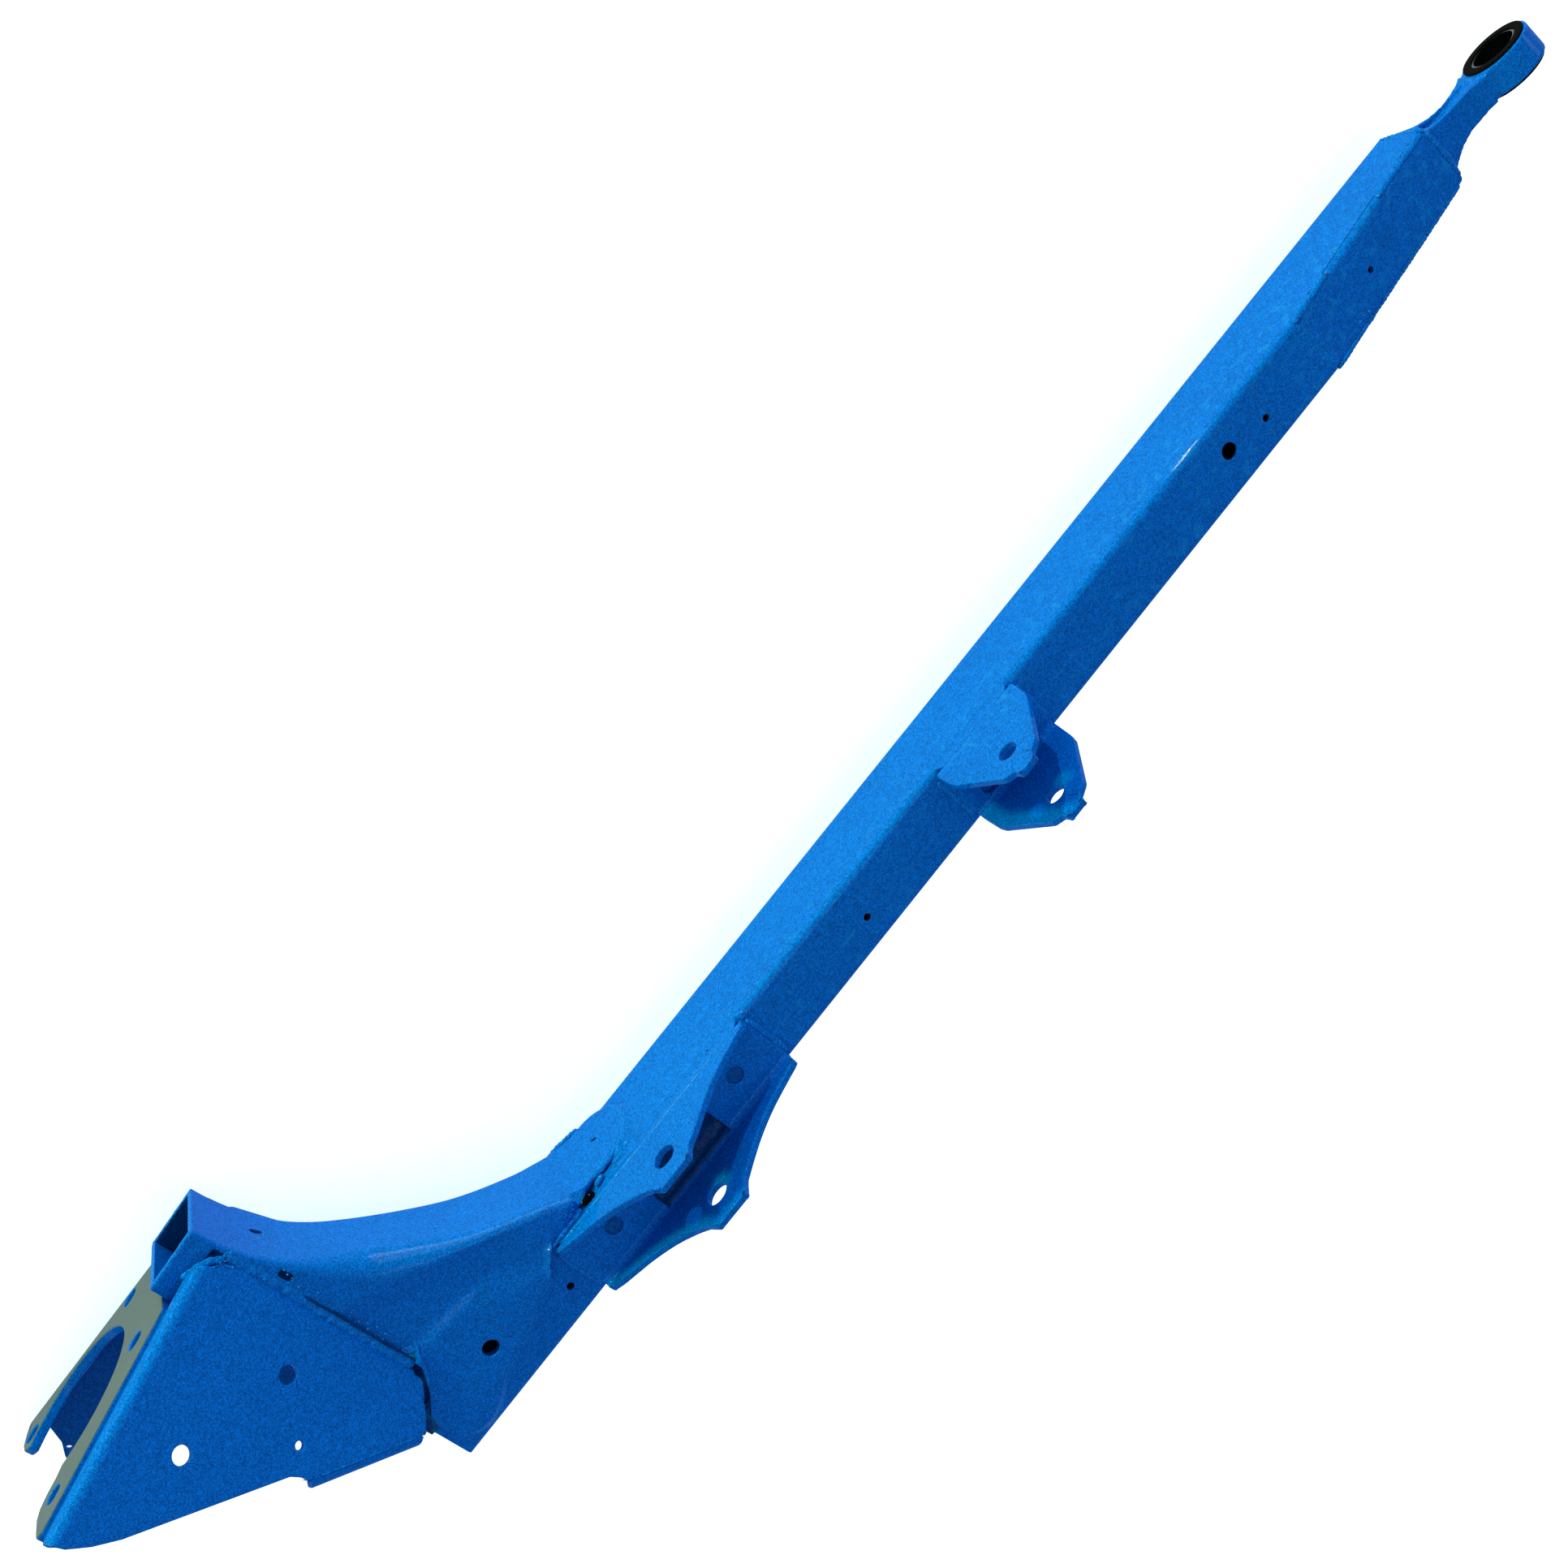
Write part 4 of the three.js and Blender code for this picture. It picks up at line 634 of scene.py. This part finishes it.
# dark sheets under the keyhole slit standing in for its shadow: painted shade
patch("keyhole_shade_outer", [(-372.5, 24), (-372.5, 36.5), (-386, 37), (-398, 27), (-404, 19.4), (-386, 19.4)], 22.8, 24.9, PAINT_WD_SHADE)
patch("keyhole_shade_inner", [(-384, 19.1), (-401, 19.1), (-406.5, 13.5), (-406.5, 6), (-402, 5), (-394, 11)], 25.45, 25.9, PAINT_WD_SHADE)
B_("seam_shadow_line", [(-380.6, 104.5, 29.0), (-380.0, 84.0, 29.15), (-379.9, 60.2, 29.15), (-379.6, 39.5, 29.0)], 0.62, up=(0, 0, 1), flat=0.6, amp=0.1, seed=33, wander=0.3, m=PAINT_WD_SHADE)

# ------------------------------------------------------------------ stage, light, camera
def stage():
    bpy.ops.mesh.primitive_plane_add(size=12, location=(-0.35, 0, CAD_BOX[0][2] - 0.0005))
    fl = bpy.context.object; fl.name = "floor"
    m, nt, b = mat("floor_white")
    tc = nd(nt, "ShaderNodeTexCoord").outputs["Object"]
    n1 = noise_tex(nt, 3, 3, 0.5, tc)
    nt.links.new(ramp(nt, n1.outputs["Fac"], [(0.3, (0.86, 0.865, 0.87, 1)), (0.7, (0.9, 0.9, 0.9, 1))]).outputs[0], b.inputs["Base Color"])
    b.inputs["Roughness"].default_value = 0.8; b.inputs["Specular IOR Level"].default_value = 0.1
    b.inputs["Emission Color"].default_value = (1, 1, 1, 1); b.inputs["Emission Strength"].default_value = 0.64
    fl.data.materials.append(m)
stage()
w = bpy.data.worlds.new("studio"); bpy.context.scene.world = w; w.use_nodes = True
bg = w.node_tree.nodes["Background"]; bg.inputs[0].default_value = (0.74, 0.94, 1.0, 1); bg.inputs[1].default_value = 0.55
def area(name, loc, at, size, power, sizey=None, col=(1, 1, 1)):
    l = bpy.data.lights.new(name, 'AREA'); l.energy = power; l.size = size; l.color = col
    if sizey: l.shape = 'RECTANGLE'; l.size_y = sizey
    o = bpy.data.objects.new(name, l); bpy.context.scene.collection.objects.link(o)
    o.location = loc; d = (Vector(at) - Vector(loc)).normalized()
    o.rotation_euler = d.to_track_quat('-Z', 'Y').to_euler()
    return o
mid = (-0.45, 0.03, 0)
area("key", (-0.95, 2.0, 0.20), mid, 0.32, 36, 0.32, (0.40, 1.0, 0.34))
area("key_core", (0.25, 2.0, 0.22), mid, 0.045, 15, 0.045, (0.9, 1.0, 0.95))
area("top", (-0.7, 0.2, 2.4), mid, 1.0, 6, 1.0)
area("front", (1.6, -0.3, 0.7), mid, 0.5, 3, 0.5)

cam = bpy.data.cameras.new("cam"); co = bpy.data.objects.new("cam", cam); bpy.context.scene.collection.objects.link(co)
r0 = Vector((0.6263, -0.6771, 0.3864)); r1 = Vector((-0.7778, -0.5765, 0.2503)); r2 = Vector((0.0533, -0.4573, -0.8877))
r0.normalize(); r2 = (r2 - r0 * r2.dot(r0)).normalized(); r1 = r2.cross(r0)
M = Matrix.Identity(4)
for i in range(3):
    M[i][0] = r0[i]; M[i][1] = -r1[i]; M[i][2] = -r2[i]
M.translation = Vector((-0.5478, 0.5518, 0.9785))
co.matrix_world = M
cam.sensor_width = 36; cam.sensor_fit = 'HORIZONTAL'; cam.lens = 2800.196 / 1932 * 36
cam.shift_x = -(1027.942 - 966) / 1932; cam.shift_y = (933.965 - 966) / 1932
cam.clip_start = 0.01; cam.clip_end = 50
bpy.context.scene.camera = co
bpy.context.scene.view_settings.view_transform = 'Standard'
